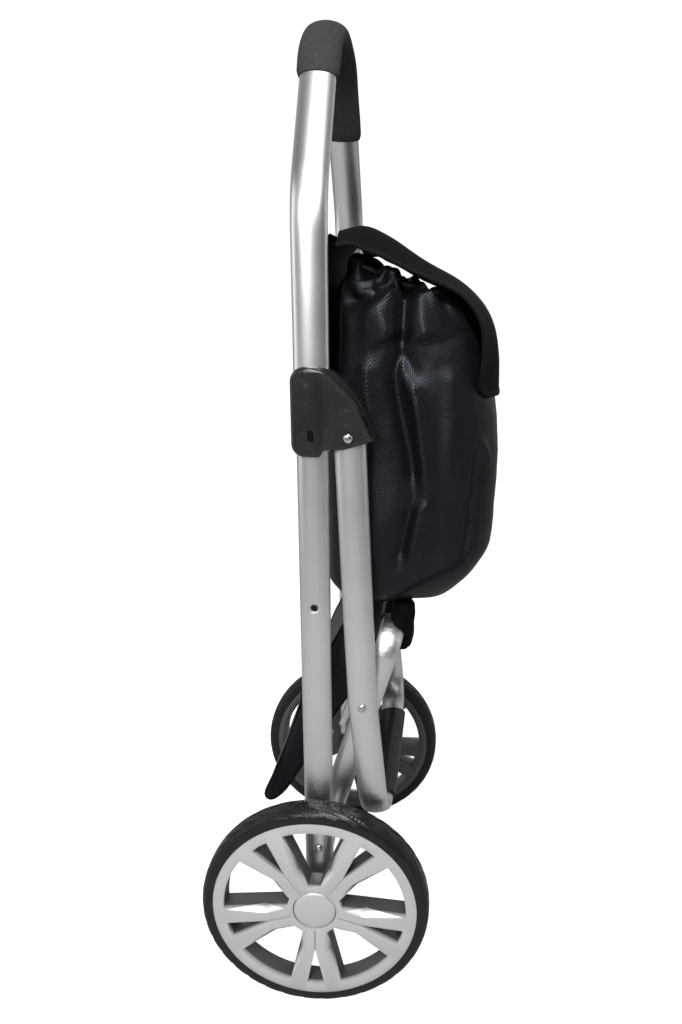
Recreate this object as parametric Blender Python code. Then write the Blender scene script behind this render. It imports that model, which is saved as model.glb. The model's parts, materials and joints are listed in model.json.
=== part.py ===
"""Folding two-wheel shopping trolley, modelled in its folded state.

Metres, +Z up. The bag is on the front, at -Y. Left is +X, right is -X. The origin is on the floor, under
the middle of the trolley's box. Every moving piece hangs from an empty that sits on its joint's axis.
"""

import math

import bmesh
import bpy
from mathutils import Matrix, Vector

# Driving dimensions
GAP = 0.0003
WHEEL_RADIUS = 0.140
TYRE_FACETS = 48
AXLE_Z = WHEEL_RADIUS * math.cos(math.pi / TYRE_FACETS)
BAG_DEPTH = 0.205
LEG_Y = (BAG_DEPTH - AXLE_Z) / 2
SLIDE_TRAVEL = 0.198
TOP_Z = 1.153
SIDES = (("left", 1), ("right", -1))

# Oval tubes: half the broad way and half the thin way of each section
OVAL_SIDES = 20
LEG_HALF = (0.0175, 0.0075)
LEG_WALL = 0.0012
HANDLE_HALF = (0.0190, 0.0088)
HANDLE_BORE_HALF = (LEG_HALF[0] + GAP, LEG_HALF[1] + GAP)
BASE_HALF = (0.0150, 0.0065)
BASE_WALL = 0.0012
GRIP_THICKNESS = 0.0035
SLEEVE_THICKNESS = 0.0030

# Lower frame
LEG_X = 0.152
LEG_BOTTOM_Z = 0.167
LEG_TOP_Z = 0.7285
LATCH_Z = 0.722
LATCH_HOLE_RADIUS = 0.0042
BASE_PIVOT_Z = 0.2015
SCREW_RADIUS = 0.0030
SCREW_HOLE_RADIUS = 0.0033
SCREW_HEAD_RADIUS = 0.0051
AXLE_RADIUS = 0.0060
AXLE_END_X = 0.1894
BRACKET_RADIUS = 0.0165
BRACKET_SPIGOT_TOP_Z = 0.190

# Handle frame
HANDLE_BOTTOM_Z = 0.704
HANDLE_BEND = (0.152, 0.960, 0.13)
GRIP_END_Z = {"left": 1.052, "right": 1.080}
HANDLE_TOP_CORNER = (0.054, 0.0860)
SHOULDER_OUTER_X = 0.1665
SHOULDER_INNER_X = 0.1405
SHOULDER_PIVOT = (-0.0400, 0.7210)
SHOULDER_WALL = 0.0022
BUTTON_TRAVEL = 0.0030
BUTTON_HEAD_HALF = (0.0027, 0.0052)
BUTTON_PIN_RADIUS = 0.0024
RAIL_Z = 0.915
RAIL_RADIUS = 0.0040

# Front leg and base frame, in the leg plane's own (y, z)
LINK = (-0.0542, 0.3994)
FOOT = (-0.0707, 0.2380)
FOOT_CORNER_RADIUS = 0.045
FOOT_SLEEVE_HALF_LENGTH = 0.100
FRONT_LEG_OVERHANG = 0.009
BASE_X = 0.1355
BASE_ANGLE = math.radians(17.0)
BASE_LENGTH = 0.295
BASE_OVERHANG = 0.012
BASE_CORNER_RADIUS = 0.035
BASE_SLEEVE_HALF_LENGTH = 0.097

# Bag
BAG_WALL = 0.0020
BAG_SECTION_POINTS = 40
BAG_BASE_ANGLE = math.radians(31.2)
BAG_BASE_HALF_WIDTH = 0.120
FLAP_HINGE = (-0.0215, 0.9290)
FLAP_HALF_WIDTH = 0.126
FLAP_THICKNESS = 0.0030

# Wheel, as distances from the middle plane along X
TYRE_X = (0.1640, 0.1958)
TYRE_SEAT_RADIUS = 0.1283
RIM_X = (0.1660, 0.1950)
RIM_RADIUS = TYRE_SEAT_RADIUS - GAP
RIM_INNER_RADIUS = 0.1120
SPOKE_X = (0.1690, 0.1935)
SPOKE_PAIRS = 5
HUB_RADIUS = 0.0300
HUB_BORE_RADIUS = 0.0136
BUSH_RADIUS = 0.0132
BUSH_BORE_RADIUS = 0.0064
CAP_RADIUS = 0.0262
CAP_SEAT_RADIUS = 0.0268
CAP_TOP_X = 0.1975


# Materials
def material(name, colour, roughness, metallic=0.0):
    """A Principled material, made once for each name."""
    made = bpy.data.materials.get(name)
    if made is None:
        made = bpy.data.materials.new(name)
        made.use_nodes = True
        shader = made.node_tree.nodes["Principled BSDF"]
        shader.inputs["Base Color"].default_value = (*colour, 1.0)
        shader.inputs["Roughness"].default_value = roughness
        shader.inputs["Metallic"].default_value = metallic
    return made


def aluminium():
    return material("aluminium", (0.78, 0.78, 0.77), 0.35, 1.0)


def steel():
    return material("steel", (0.62, 0.62, 0.63), 0.25, 1.0)


def black_plastic():
    return material("black_plastic", (0.025, 0.026, 0.028), 0.40)


def silver_plastic():
    return material("silver_plastic", (0.62, 0.62, 0.62), 0.45, 0.3)


def foam():
    return material("foam", (0.045, 0.045, 0.048), 0.85)


def rubber():
    return material("rubber", (0.020, 0.020, 0.021), 0.55)


def bag_fabric():
    return material("bag_fabric", (0.012, 0.014, 0.022), 0.50)


# Placing: every point below is given in the leg plane's own frame and moved by LEG_Y here
def clear_scene():
    for item in list(bpy.data.objects):
        bpy.data.objects.remove(item, do_unlink=True)


def axis_empty(name, y, z, x=0.0):
    """An empty on a joint's axis, which a moving body's pieces are parented to."""
    empty = bpy.data.objects.new(name, None)
    empty.location = (x, y + LEG_Y, z)
    bpy.context.scene.collection.objects.link(empty)
    return empty


def add_object(name, bm, finish, parent=None):
    """Turns a mesh given in the leg plane's frame into an object, parented to its body's empty."""
    bmesh.ops.remove_doubles(bm, verts=bm.verts, dist=1e-6)
    bmesh.ops.recalc_face_normals(bm, faces=bm.faces)
    mesh = bpy.data.meshes.new(name)
    bm.to_mesh(mesh)
    bm.free()
    home = parent.location if parent else Vector((0.0, 0.0, 0.0))
    mesh.transform(Matrix.Translation(Vector((0.0, LEG_Y, 0.0)) - home))
    mesh.shade_smooth()
    mesh.set_sharp_from_angle(angle=math.radians(35.0))
    item = bpy.data.objects.new(name, mesh)
    item.data.materials.append(finish)
    item.parent = parent
    bpy.context.scene.collection.objects.link(item)
    return item


def add_tool(name, bm, parent=None):
    """An object that only shapes others, so it is hidden from the model."""
    tool = add_object(name, bm, black_plastic(), parent)
    tool.hide_render = True
    tool.display_type = "WIRE"
    return tool


def boolean(item, tool, operation="DIFFERENCE"):
    modifier = item.modifiers.new(operation.lower(), "BOOLEAN")
    modifier.operation = operation
    modifier.solver = "EXACT"
    modifier.object = tool


# Shapes
def add_loop_body(bm, rings, closed_ends=True):
    """Joins rings of points into one surface. With closed_ends the first and last ring are capped."""
    rows = [[bm.verts.new(point) for point in ring] for ring in rings]
    count = len(rows[0])
    for row, following in zip(rows, rows[1:]):
        for i in range(count):
            j = (i + 1) % count
            bm.faces.new((row[i], row[j], following[j], following[i]))
    if closed_ends:
        bm.faces.new(rows[0])
        bm.faces.new(rows[-1])
    return rows


def oval(half, count=OVAL_SIDES):
    """Points of an oval section, as (broad, thin) pairs."""
    angles = [2 * math.pi * i / count for i in range(count)]
    return [(half[0] * math.cos(a), half[1] * math.sin(a)) for a in angles]


def rectangle(half_broad, half_thin):
    return [
        (half_broad, half_thin),
        (-half_broad, half_thin),
        (-half_broad, -half_thin),
        (half_broad, -half_thin),
    ]


def arc_points(corner, before, after, radius, steps):
    """Points of the arc that rounds a corner between two straight runs."""
    to_before = (before - corner).normalized()
    to_after = (after - corner).normalized()
    opening = to_before.angle(to_after)
    run = radius / math.tan(opening / 2)
    centre = corner + (to_before + to_after).normalized() * (radius / math.sin(opening / 2))
    first = corner + to_before * run - centre
    last = corner + to_after * run - centre
    turn = math.pi - opening
    points = []
    for i in range(steps + 1):
        part = i / steps
        spread = first * math.sin((1 - part) * turn) + last * math.sin(part * turn)
        points.append(centre + spread / math.sin(turn))
    return points


def rounded_path(corners, closed=False, step_angle=math.radians(11.0)):
    """Runs through corners given as (point, radius), with each corner rounded by its radius."""
    points = []
    count = len(corners)
    for i, (corner, radius) in enumerate(corners):
        inside = closed or 0 < i < count - 1
        if not inside or radius <= 0:
            points.append(corner)
            continue
        before = corners[i - 1][0]
        after = corners[(i + 1) % count][0]
        turn = math.pi - (before - corner).angle(after - corner)
        steps = max(2, math.ceil(turn / step_angle))
        points.extend(arc_points(corner, before, after, radius, steps))
    return points


def mirrored_path(half_corners):
    """Corners of one side, carried on to the other side of the X = 0 plane."""
    other = [(Vector((-p.x, p.y, p.z)), radius) for p, radius in reversed(half_corners)]
    return rounded_path(half_corners + other)


def sweep_rings(path, first_broad, section):
    """One ring of the section at each point of the path. The section turns only as the path does."""
    directions = []
    for i in range(len(path)):
        ahead = path[min(i + 1, len(path) - 1)] - path[i]
        behind = path[i] - path[max(i - 1, 0)]
        directions.append((ahead.normalized() + behind.normalized()).normalized())
    rings = []
    along = directions[0]
    broad = (first_broad - along * first_broad.dot(along)).normalized()
    for i, point in enumerate(path):
        if i > 0:
            broad = directions[i - 1].rotation_difference(directions[i]) @ broad
        thin = directions[i].cross(broad)
        rings.append([point + broad * u + thin * v for u, v in section])
    return rings


def solid_sweep(bm, path, first_broad, section):
    add_loop_body(bm, sweep_rings(path, first_broad, section))


def hollow_sweep(bm, path, first_broad, outer, inner):
    """A tube along the path, open at both ends."""
    outside = add_loop_body(bm, sweep_rings(path, first_broad, outer), closed_ends=False)
    inside = add_loop_body(bm, sweep_rings(path, first_broad, inner), closed_ends=False)
    count = len(outer)
    for end in (0, -1):
        for i in range(count):
            j = (i + 1) % count
            bm.faces.new((outside[end][i], outside[end][j], inside[end][j], inside[end][i]))


def turned(bm, profile, centre, segments, closed):
    """Turns a profile of (x, radius) points about the line along X through centre, (y, z).

    A closed profile makes a ring. An open one starts and ends on the axis.
    """
    angles = [2 * math.pi * (i + 0.5) / segments for i in range(segments)]
    rows = []
    for x, radius in profile:
        if radius == 0:
            rows.append([bm.verts.new((x, centre[0], centre[1]))])
            continue
        ring = []
        for a in angles:
            y = centre[0] + radius * math.sin(a)
            z = centre[1] - radius * math.cos(a)
            ring.append(bm.verts.new((x, y, z)))
        rows.append(ring)
    pairs = list(zip(rows, rows[1:]))
    if closed:
        pairs.append((rows[-1], rows[0]))
    for row, following in pairs:
        for i in range(segments):
            j = (i + 1) % segments
            if len(row) == 1:
                bm.faces.new((row[0], following[j], following[i]))
            elif len(following) == 1:
                bm.faces.new((row[i], row[j], following[0]))
            else:
                bm.faces.new((row[i], row[j], following[j], following[i]))


def rod(bm, x0, x1, radius, centre, segments=16):
    turned(bm, [(x0, 0), (x0, radius), (x1, radius), (x1, 0)], centre, segments, closed=False)


def ring_x(bm, x0, x1, bore, radius, centre, segments=24):
    profile = [(x0, bore), (x0, radius), (x1, radius), (x1, bore)]
    turned(bm, profile, centre, segments, closed=True)


def slab(bm, outline, x0, x1):
    """Extrudes a (y, z) outline along X."""
    add_loop_body(bm, [[Vector((x, y, z)) for y, z in outline] for x in (x0, x1)])


def rounded_outline(corners):
    """A closed (y, z) outline from (y, z, radius) corners."""
    spots = [(Vector((0.0, y, z)), radius) for y, z, radius in corners]
    return [(p.y, p.z) for p in rounded_path(spots, closed=True, step_angle=math.radians(18.0))]


def smooth_curve(points, steps):
    """A Catmull-Rom curve through 2-D points."""
    ends = [points[0]] + list(points) + [points[-1]]
    curve = []
    for a, b, c, d in zip(ends, ends[1:], ends[2:], ends[3:]):
        for i in range(steps):
            t = i / steps
            curve.append(
                tuple(
                    0.5 * (2 * q + (r - p) * t + (2 * p - 5 * q + 4 * r - s) * t * t
                           + (3 * q - p - 3 * r + s) * t ** 3)
                    for p, q, r, s in zip(a, b, c, d)
                )
            )
    curve.append(points[-1])
    return curve


# Lower frame
def screw(bm, side, head_x, end_x, centre, head_radius=SCREW_HEAD_RADIUS, nut=None):
    """A domed screw along X with its head outside. nut gives (thickness, radius) of a nut on its end."""
    profile = [
        (head_x + 0.0024, 0),
        (head_x + 0.0022, head_radius * 0.55),
        (head_x + 0.0012, head_radius * 0.92),
        (head_x, head_radius),
        (head_x, SCREW_RADIUS),
        (end_x, SCREW_RADIUS),
    ]
    if nut:
        profile += [(end_x, nut[1]), (end_x - nut[0], nut[1]), (end_x - nut[0], 0)]
    else:
        profile += [(end_x, 0)]
    turned(bm, [(side * x, r) for x, r in profile], centre, 16, closed=False)


def make_leg(name, side):
    leg = bmesh.new()
    path = [Vector((side * LEG_X, 0.0, z)) for z in (LEG_BOTTOM_Z, LEG_TOP_Z)]
    bore = (LEG_HALF[0] - LEG_WALL, LEG_HALF[1] - LEG_WALL)
    hollow_sweep(leg, path, Vector((0, 1, 0)), oval(LEG_HALF), oval(bore))
    item = add_object(f"leg_tube_{name}", leg, aluminium())
    cutter = bmesh.new()
    outer = (side * LEG_X, side * (LEG_X + 0.012))
    rod(cutter, *outer, LATCH_HOLE_RADIUS, (0.0, LATCH_Z))
    rod(cutter, *outer, LATCH_HOLE_RADIUS, (0.0, LATCH_Z - SLIDE_TRAVEL))
    through = (side * (LEG_X - 0.012), side * (LEG_X + 0.012))
    rod(cutter, *through, SCREW_HOLE_RADIUS, (0.0, BASE_PIVOT_Z))
    boolean(item, add_tool(f"leg_holes_{name}", cutter))


def make_axle_bracket(name, side):
    """A moulded foot: a spigot inside the tube, a body below it and a hole for the axle."""
    inner_x = LEG_X - LEG_HALF[1]
    outer_x = LEG_X + LEG_HALF[1]
    lug = bmesh.new()
    reach = 0.0165
    bottom = AXLE_Z - BRACKET_RADIUS
    shoulder_z = LEG_BOTTOM_Z - GAP
    outline = rounded_outline([
        (reach, shoulder_z, 0.0),
        (reach, bottom, BRACKET_RADIUS * 0.97),
        (-reach, bottom, BRACKET_RADIUS * 0.97),
        (-reach, shoulder_z, 0.0),
    ])
    slab(lug, outline, side * inner_x, side * outer_x)
    item = add_object(f"axle_bracket_{name}", lug, silver_plastic())
    spigot = bmesh.new()
    path = [Vector((side * LEG_X, 0.0, z)) for z in (shoulder_z - 0.004, BRACKET_SPIGOT_TOP_Z)]
    half = (LEG_HALF[0] - LEG_WALL - GAP, LEG_HALF[1] - LEG_WALL - GAP)
    solid_sweep(spigot, path, Vector((0, 1, 0)), oval(half))
    boolean(item, add_tool(f"bracket_spigot_{name}", spigot), "UNION")
    bore = bmesh.new()
    rod(bore, side * 0.140, side * 0.165, AXLE_RADIUS + GAP, (0.0, AXLE_Z))
    boolean(item, add_tool(f"bracket_bore_{name}", bore))


def make_axle():
    axle = bmesh.new()
    rod(axle, -AXLE_END_X, AXLE_END_X, AXLE_RADIUS, (0.0, AXLE_Z))
    add_object("axle", axle, steel())
    for name, side in SIDES:
        spacer = bmesh.new()
        spacer_x = (side * (LEG_X + LEG_HALF[1] + GAP), side * 0.1652)
        ring_x(spacer, *spacer_x, AXLE_RADIUS + GAP, 0.0100, (0.0, AXLE_Z), 16)
        add_object(f"axle_spacer_{name}", spacer, black_plastic())
        clip = bmesh.new()
        clip_x = (side * 0.1872, side * 0.1888)
        ring_x(clip, *clip_x, AXLE_RADIUS + GAP, 0.0105, (0.0, AXLE_Z), 16)
        add_object(f"axle_clip_{name}", clip, steel())


def make_base_pivot_screw(name, side):
    pivot = bmesh.new()
    head_x = LEG_X + LEG_HALF[1] + GAP
    end_x = BASE_X - BASE_HALF[1] - GAP
    screw(pivot, side, head_x, end_x, (0.0, BASE_PIVOT_Z), nut=(0.0035, 0.0055))
    add_object(f"base_pivot_screw_{name}", pivot, steel())


def make_latch_spring(name, side):
    """A hairpin leaf spring inside the leg, with the pin head that the lock button pushes on."""
    strip_x = 0.1472
    pin_x = 0.1522
    top_z = LEG_TOP_Z - 0.0016
    corners = [
        (Vector((side * strip_x, 0.0, LATCH_Z - 0.055)), 0.0),
        (Vector((side * strip_x, 0.0, top_z)), 0.0016),
        (Vector((side * pin_x, 0.0, top_z)), 0.0016),
        (Vector((side * pin_x, 0.0, LATCH_Z - 0.020)), 0.0),
    ]
    spring = bmesh.new()
    path = rounded_path(corners, step_angle=math.radians(30.0))
    solid_sweep(spring, path, Vector((0, 1, 0)), rectangle(0.0035, 0.0004))
    item = add_object(f"latch_spring_{name}", spring, steel())
    head = bmesh.new()
    rod(head, side * pin_x, side * 0.1562, 0.0034, (0.0, LATCH_Z))
    boolean(item, add_tool(f"latch_pin_{name}", head), "UNION")


# Handle frame
def handle_corners():
    """The left half of the handle tube's path, up to the middle of its bend."""
    bend_x, bend_z, bend_radius = HANDLE_BEND
    top_x, top_radius = HANDLE_TOP_CORNER
    path_top = TOP_Z - HANDLE_HALF[1] - GAP - GRIP_THICKNESS
    bend = Vector((bend_x, 0.0, bend_z))
    top = Vector((top_x, 0.0, path_top))
    corners = [(Vector((LEG_X, 0.0, HANDLE_BOTTOM_Z)), 0.0), (bend, bend_radius)]
    for z in sorted(GRIP_END_Z.values()):
        corners.append((bend.lerp(top, (z - bend_z) / (path_top - bend_z)), 0.0))
    corners.append((top, top_radius))
    return corners


def make_handle_tube(body):
    tube = bmesh.new()
    path = mirrored_path(handle_corners())
    hollow_sweep(tube, path, Vector((0, 1, 0)), oval(HANDLE_HALF), oval(HANDLE_BORE_HALF))
    item = add_object("handle_tube", tube, aluminium(), body)
    holes = bmesh.new()
    for _, side in SIDES:
        wall_x = (side * (LEG_X + 0.004), side * (LEG_X + 0.011))
        rod(holes, *wall_x, BUTTON_PIN_RADIUS + 2 * GAP, (0.0, LATCH_Z))
    boolean(item, add_tool("handle_holes", holes, body))


def make_grip(body):
    grip = bmesh.new()
    path = mirrored_path(handle_corners())
    path = [p for p in path if p.z > GRIP_END_Z["left" if p.x > 0 else "right"] - 1e-6]
    bore = (HANDLE_HALF[0] + GAP, HANDLE_HALF[1] + GAP)
    skin = (bore[0] + GRIP_THICKNESS, bore[1] + GRIP_THICKNESS)
    hollow_sweep(grip, path, Vector((0, 1, 0)), oval(skin), oval(bore))
    add_object("handle_grip", grip, foam(), body)


def shoulder_outline():
    return rounded_outline([
        (0.0215, 0.7930, 0.016),
        (-0.0170, 0.7945, 0.022),
        (-0.0500, 0.7630, 0.080),
        (-0.0700, 0.7180, 0.0045),
        (-0.0330, 0.7065, 0.030),
        (-0.0125, 0.7055, 0.003),
        (-0.0090, 0.6985, 0.003),
        (0.0215, 0.6985, 0.014),
    ])


def shoulder_cavity():
    """The room inside the shoulder that the front leg's end swings in, open at the bottom."""
    back = -HANDLE_HALF[0] - 2 * GAP
    return rounded_outline([
        (back, 0.7840, 0.002),
        (-0.0250, 0.7810, 0.010),
        (-0.0480, 0.7590, 0.060),
        (-0.0672, 0.7180, 0.0),
        (-0.0672, 0.6900, 0.0),
        (back, 0.6900, 0.0),
    ])


def bevel_face_edge(bm, x, width):
    """Rounds the outline's edge in the plane at x."""
    edge = [e for e in bm.edges if all(abs(v.co.x - x) < 1e-6 for v in e.verts)]
    bmesh.ops.bevel(bm, geom=edge, offset=width, segments=2, profile=0.6, affect="EDGES")


def make_shoulder_half(name, side, part, body):
    """One half of the moulded joint that holds the handle tube and the front leg's pivot."""
    seam_x = LEG_X + (GAP / 2 if part == "outer" else -GAP / 2)
    face_x = SHOULDER_OUTER_X if part == "outer" else SHOULDER_INNER_X
    shell = bmesh.new()
    slab(shell, shoulder_outline(), side * seam_x, side * face_x)
    bevel_face_edge(shell, side * face_x, 0.0018)
    item = add_object(f"shoulder_{part}_{name}", shell, black_plastic(), body)
    room = bmesh.new()
    middle = SHOULDER_OUTER_X - SHOULDER_WALL if part == "outer" else SHOULDER_INNER_X + SHOULDER_WALL
    middle = min(middle, LEG_X + LEG_HALF[1] + 0.0016) if part == "outer" else middle
    slab(room, shoulder_cavity(), side * (2 * LEG_X - middle), side * middle)
    boolean(item, add_tool(f"shoulder_room_{part}_{name}", room, body))
    sleeve = bmesh.new()
    path = [Vector((side * LEG_X, 0.0, z)) for z in (0.690, 0.810)]
    clear = (HANDLE_HALF[0] + GAP, HANDLE_HALF[1] + GAP)
    solid_sweep(sleeve, path, Vector((0, 1, 0)), oval(clear))
    boolean(item, add_tool(f"shoulder_sleeve_{part}_{name}", sleeve, body))
    holes = bmesh.new()
    rod(holes, side * 0.130, side * 0.175, SCREW_HOLE_RADIUS, SHOULDER_PIVOT)
    if part == "outer":
        half_y, half_z = (h + 2 * GAP for h in BUTTON_HEAD_HALF)
        slot = [(half_y, LATCH_Z + half_z), (-half_y, LATCH_Z + half_z)]
        slot += [(-half_y, LATCH_Z - half_z), (half_y, LATCH_Z - half_z)]
        slab(holes, slot, side * (LEG_X + 0.006), side * 0.175)
    boolean(item, add_tool(f"shoulder_holes_{part}_{name}", holes, body))


def make_shoulder_screw(name, side, body):
    pivot = bmesh.new()
    screw(pivot, side, SHOULDER_OUTER_X + GAP, SHOULDER_INNER_X + GAP, SHOULDER_PIVOT)
    add_object(f"shoulder_screw_{name}", pivot, steel(), body)


def make_lock_button(name, side):
    """A push button in the shoulder's slot, with the pin that reaches the leg's hole when pressed."""
    body = axis_empty(f"lock_button_{name}_axis", 0.0, LATCH_Z, side * SHOULDER_OUTER_X)
    half_y, half_z = BUTTON_HEAD_HALF
    head = bmesh.new()
    outline = rounded_outline([
        (half_y, LATCH_Z + half_z, 0.0008),
        (-half_y, LATCH_Z + half_z, 0.0008),
        (-half_y, LATCH_Z - half_z, 0.0008),
        (half_y, LATCH_Z - half_z, 0.0008),
    ])
    head_x = (LEG_X + HANDLE_HALF[1] + BUTTON_TRAVEL + GAP, SHOULDER_OUTER_X - 0.0008)
    slab(head, outline, side * head_x[0], side * head_x[1])
    item = add_object(f"lock_button_{name}", head, black_plastic(), body)
    pin = bmesh.new()
    rod(pin, side * (LEG_X + LEG_HALF[1] + GAP), side * (head_x[0] + 0.0005), BUTTON_PIN_RADIUS, (0.0, LATCH_Z))
    boolean(item, add_tool(f"lock_pin_{name}", pin, body), "UNION")


# The cloth that wraps the rail, comes forward to the bag's top edge and hangs down the bag's back
HANGER_HALF_WIDTH = 0.120
HANGER_OUTLINE = (
    (-0.0010, 0.9208),
    (-0.0200, 0.9265),
    (-0.0216, 0.9240),
    (-0.0216, 0.8200),
    (-0.0192, 0.8200),
    (-0.0192, 0.9130),
    (-0.0030, 0.9096),
)


def make_bag_rail(body):
    """The cross rod that the bag hangs from, and the cloth hanger on it."""
    rail = bmesh.new()
    end_x = LEG_X - HANDLE_HALF[1] - GAP
    rod(rail, -end_x, end_x, RAIL_RADIUS, (0.0, RAIL_Z))
    add_object("bag_rail", rail, steel(), body)
    hanger = bmesh.new()
    rod(hanger, -HANGER_HALF_WIDTH, HANGER_HALF_WIDTH, 0.0062, (0.0, RAIL_Z))
    item = add_object("bag_hanger", hanger, bag_fabric(), body)
    strap = bmesh.new()
    slab(strap, HANGER_OUTLINE, -HANGER_HALF_WIDTH, HANGER_HALF_WIDTH)
    boolean(item, add_tool("hanger_strap", strap, body), "UNION")
    bore = bmesh.new()
    rod(bore, -0.130, 0.130, RAIL_RADIUS + GAP, (0.0, RAIL_Z))
    boolean(item, add_tool("hanger_bore", bore, body))


# Bag: (z at the rear, z at the front, y of the rear, y of the front, half width), from the bottom up
BAG_LEVELS = (
    (0.5190, 0.5190, -0.050, -0.155, 0.106),
    (0.5255, 0.5270, -0.034, -0.173, 0.124),
    (0.5400, 0.5410, -0.025, -0.186, 0.133),
    (0.5600, 0.5600, -0.022, -0.197, 0.137),
    (0.6200, 0.6200, -0.022, -0.204, 0.138),
    (0.6800, 0.6800, -0.022, -BAG_DEPTH, 0.138),
    (0.7400, 0.7300, -0.022, -0.201, 0.138),
    (0.8000, 0.7700, -0.022, -0.1945, 0.137),
    (0.8500, 0.8200, -0.023, -0.1860, 0.133),
    (0.8800, 0.8480, -0.026, -0.1700, 0.124),
    (0.8980, 0.8640, -0.031, -0.1500, 0.110),
)
BAG_SQUARENESS = 0.45


def bag_ring(level, inset):
    """One level of the bag: a rounded rectangle, drawn in by inset."""
    z_rear, z_front, y_rear, y_front, half_x = level
    middle_y = (y_rear + y_front) / 2
    half_y = (y_rear - y_front) / 2
    ring = []
    for i in range(BAG_SECTION_POINTS):
        a = 2 * math.pi * i / BAG_SECTION_POINTS
        across = math.copysign(abs(math.cos(a)) ** BAG_SQUARENESS, math.cos(a))
        along = math.copysign(abs(math.sin(a)) ** BAG_SQUARENESS, math.sin(a))
        z = z_rear + (z_front - z_rear) * (1 - along) / 2
        ring.append(Vector((across * (half_x - inset), middle_y + along * (half_y - inset), z)))
    return ring


def make_bag_body(body):
    """The bag itself, open at its throat."""
    bag = bmesh.new()
    outside = [bag_ring(level, 0.0) for level in BAG_LEVELS]
    inside = [bag_ring(level, BAG_WALL) for level in reversed(BAG_LEVELS)]
    for point in inside[-1]:
        point.z += BAG_WALL
    add_loop_body(bag, outside + inside)
    add_object("bag_body", bag, bag_fabric(), body)


FLAP_OUTER = (
    (-0.0215, 0.9305),
    (-0.0460, 0.9360),
    (-0.0750, 0.9260),
    (-0.1100, 0.9060),
    (-0.1510, 0.8850),
    (-0.1780, 0.8620),
    (-0.1930, 0.8370),
    (-0.1990, 0.8050),
    (-0.2000, 0.7640),
)


def make_bag_flap():
    """The lid, a stiffened sheet that folds over from the bag's top rear edge."""
    body = axis_empty("bag_flap_axis", *FLAP_HINGE)
    curve = [Vector((0.0, y, z)) for y, z in smooth_curve(FLAP_OUTER, 3)]
    outer = []
    inner = []
    for i, point in enumerate(curve):
        run = curve[min(i + 1, len(curve) - 1)] - curve[max(i - 1, 0)]
        down = Vector((0.0, -run.z, run.y)).normalized()
        outer.append((point.y, point.z))
        inner.append((point.y + down.y * FLAP_THICKNESS, point.z + down.z * FLAP_THICKNESS))
    flap = bmesh.new()
    count = len(outer)
    rows = []
    for x in (-FLAP_HALF_WIDTH, FLAP_HALF_WIDTH):
        row = [flap.verts.new((x, y, z)) for y, z in outer]
        row += [flap.verts.new((x, y, z)) for y, z in reversed(inner)]
        rows.append(row)
    for i in range(2 * count):
        j = (i + 1) % (2 * count)
        flap.faces.new((rows[0][i], rows[0][j], rows[1][j], rows[1][i]))
    for row in rows:
        for i in range(count - 1):
            flap.faces.new((row[i], row[i + 1], row[2 * count - 2 - i], row[2 * count - 1 - i]))
    add_object("bag_flap", flap, bag_fabric(), body)


# Front leg
def front_leg_path():
    pivot = Vector((LEG_X, *SHOULDER_PIVOT))
    link = Vector((LEG_X, *LINK))
    top = pivot + (pivot - link).normalized() * FRONT_LEG_OVERHANG
    foot = Vector((LEG_X, *FOOT))
    return mirrored_path([(top, 0.0), (link, 0.150), (foot, FOOT_CORNER_RADIUS)])


def make_front_leg():
    body = axis_empty("front_leg_axis", *SHOULDER_PIVOT)
    bore = (LEG_HALF[0] - LEG_WALL, LEG_HALF[1] - LEG_WALL)
    tube = bmesh.new()
    hollow_sweep(tube, front_leg_path(), Vector((0, 1, 0)), oval(LEG_HALF), oval(bore))
    item = add_object("front_leg_tube", tube, aluminium(), body)
    holes = bmesh.new()
    for _, side in SIDES:
        for centre in (SHOULDER_PIVOT, LINK):
            rod(holes, side * 0.140, side * 0.164, SCREW_HOLE_RADIUS, centre)
    boolean(item, add_tool("front_leg_holes", holes, body))
    make_foot_sleeve(body)
    for name, side in SIDES:
        make_leg_end_plug(name, side, body)
        link = bmesh.new()
        screw(link, side, LEG_X + LEG_HALF[1] + GAP, LEG_X - LEG_HALF[1] + GAP, LINK)
        add_object(f"link_screw_{name}", link, steel(), body)


def make_foot_sleeve(body):
    """The sleeve on the front leg's cross bar, which stands on the floor in use."""
    lean = Vector((0.0, FOOT[0] - LINK[0], FOOT[1] - LINK[1])).normalized()
    broad = Vector((0.0, -lean.z, lean.y))
    bore = (LEG_HALF[0] + GAP, LEG_HALF[1] + GAP)
    skin = (bore[0] + SLEEVE_THICKNESS, bore[1] + SLEEVE_THICKNESS)
    path = [Vector((x, *FOOT)) for x in (FOOT_SLEEVE_HALF_LENGTH, -FOOT_SLEEVE_HALF_LENGTH)]
    sleeve = bmesh.new()
    hollow_sweep(sleeve, path, broad, oval(skin), oval(bore))
    add_object("foot_sleeve", sleeve, rubber(), body)


def make_leg_end_plug(name, side, body):
    """A plug in an upper end of the front leg, inside the shoulder."""
    up = Vector((0.0, SHOULDER_PIVOT[0] - LINK[0], SHOULDER_PIVOT[1] - LINK[1])).normalized()
    broad = Vector((0.0, up.z, -up.y))
    plug_half = tuple(h - LEG_WALL - GAP for h in LEG_HALF)
    end = Vector((side * LEG_X, *SHOULDER_PIVOT)) + up * FRONT_LEG_OVERHANG
    rings = sweep_rings([end - up * 0.004, end + up * GAP], broad, oval(plug_half))
    rings += sweep_rings([end + up * GAP, end + up * 0.0018], broad, oval(LEG_HALF))
    plug = bmesh.new()
    add_loop_body(plug, rings)
    add_object(f"leg_end_plug_{name}", plug, black_plastic(), body)


# Base frame
def base_point(x, distance):
    """A point of the base frame, at a distance from its pivot."""
    y = -distance * math.sin(BASE_ANGLE)
    z = BASE_PIVOT_Z + distance * math.cos(BASE_ANGLE)
    return Vector((x, y, z))


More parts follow.
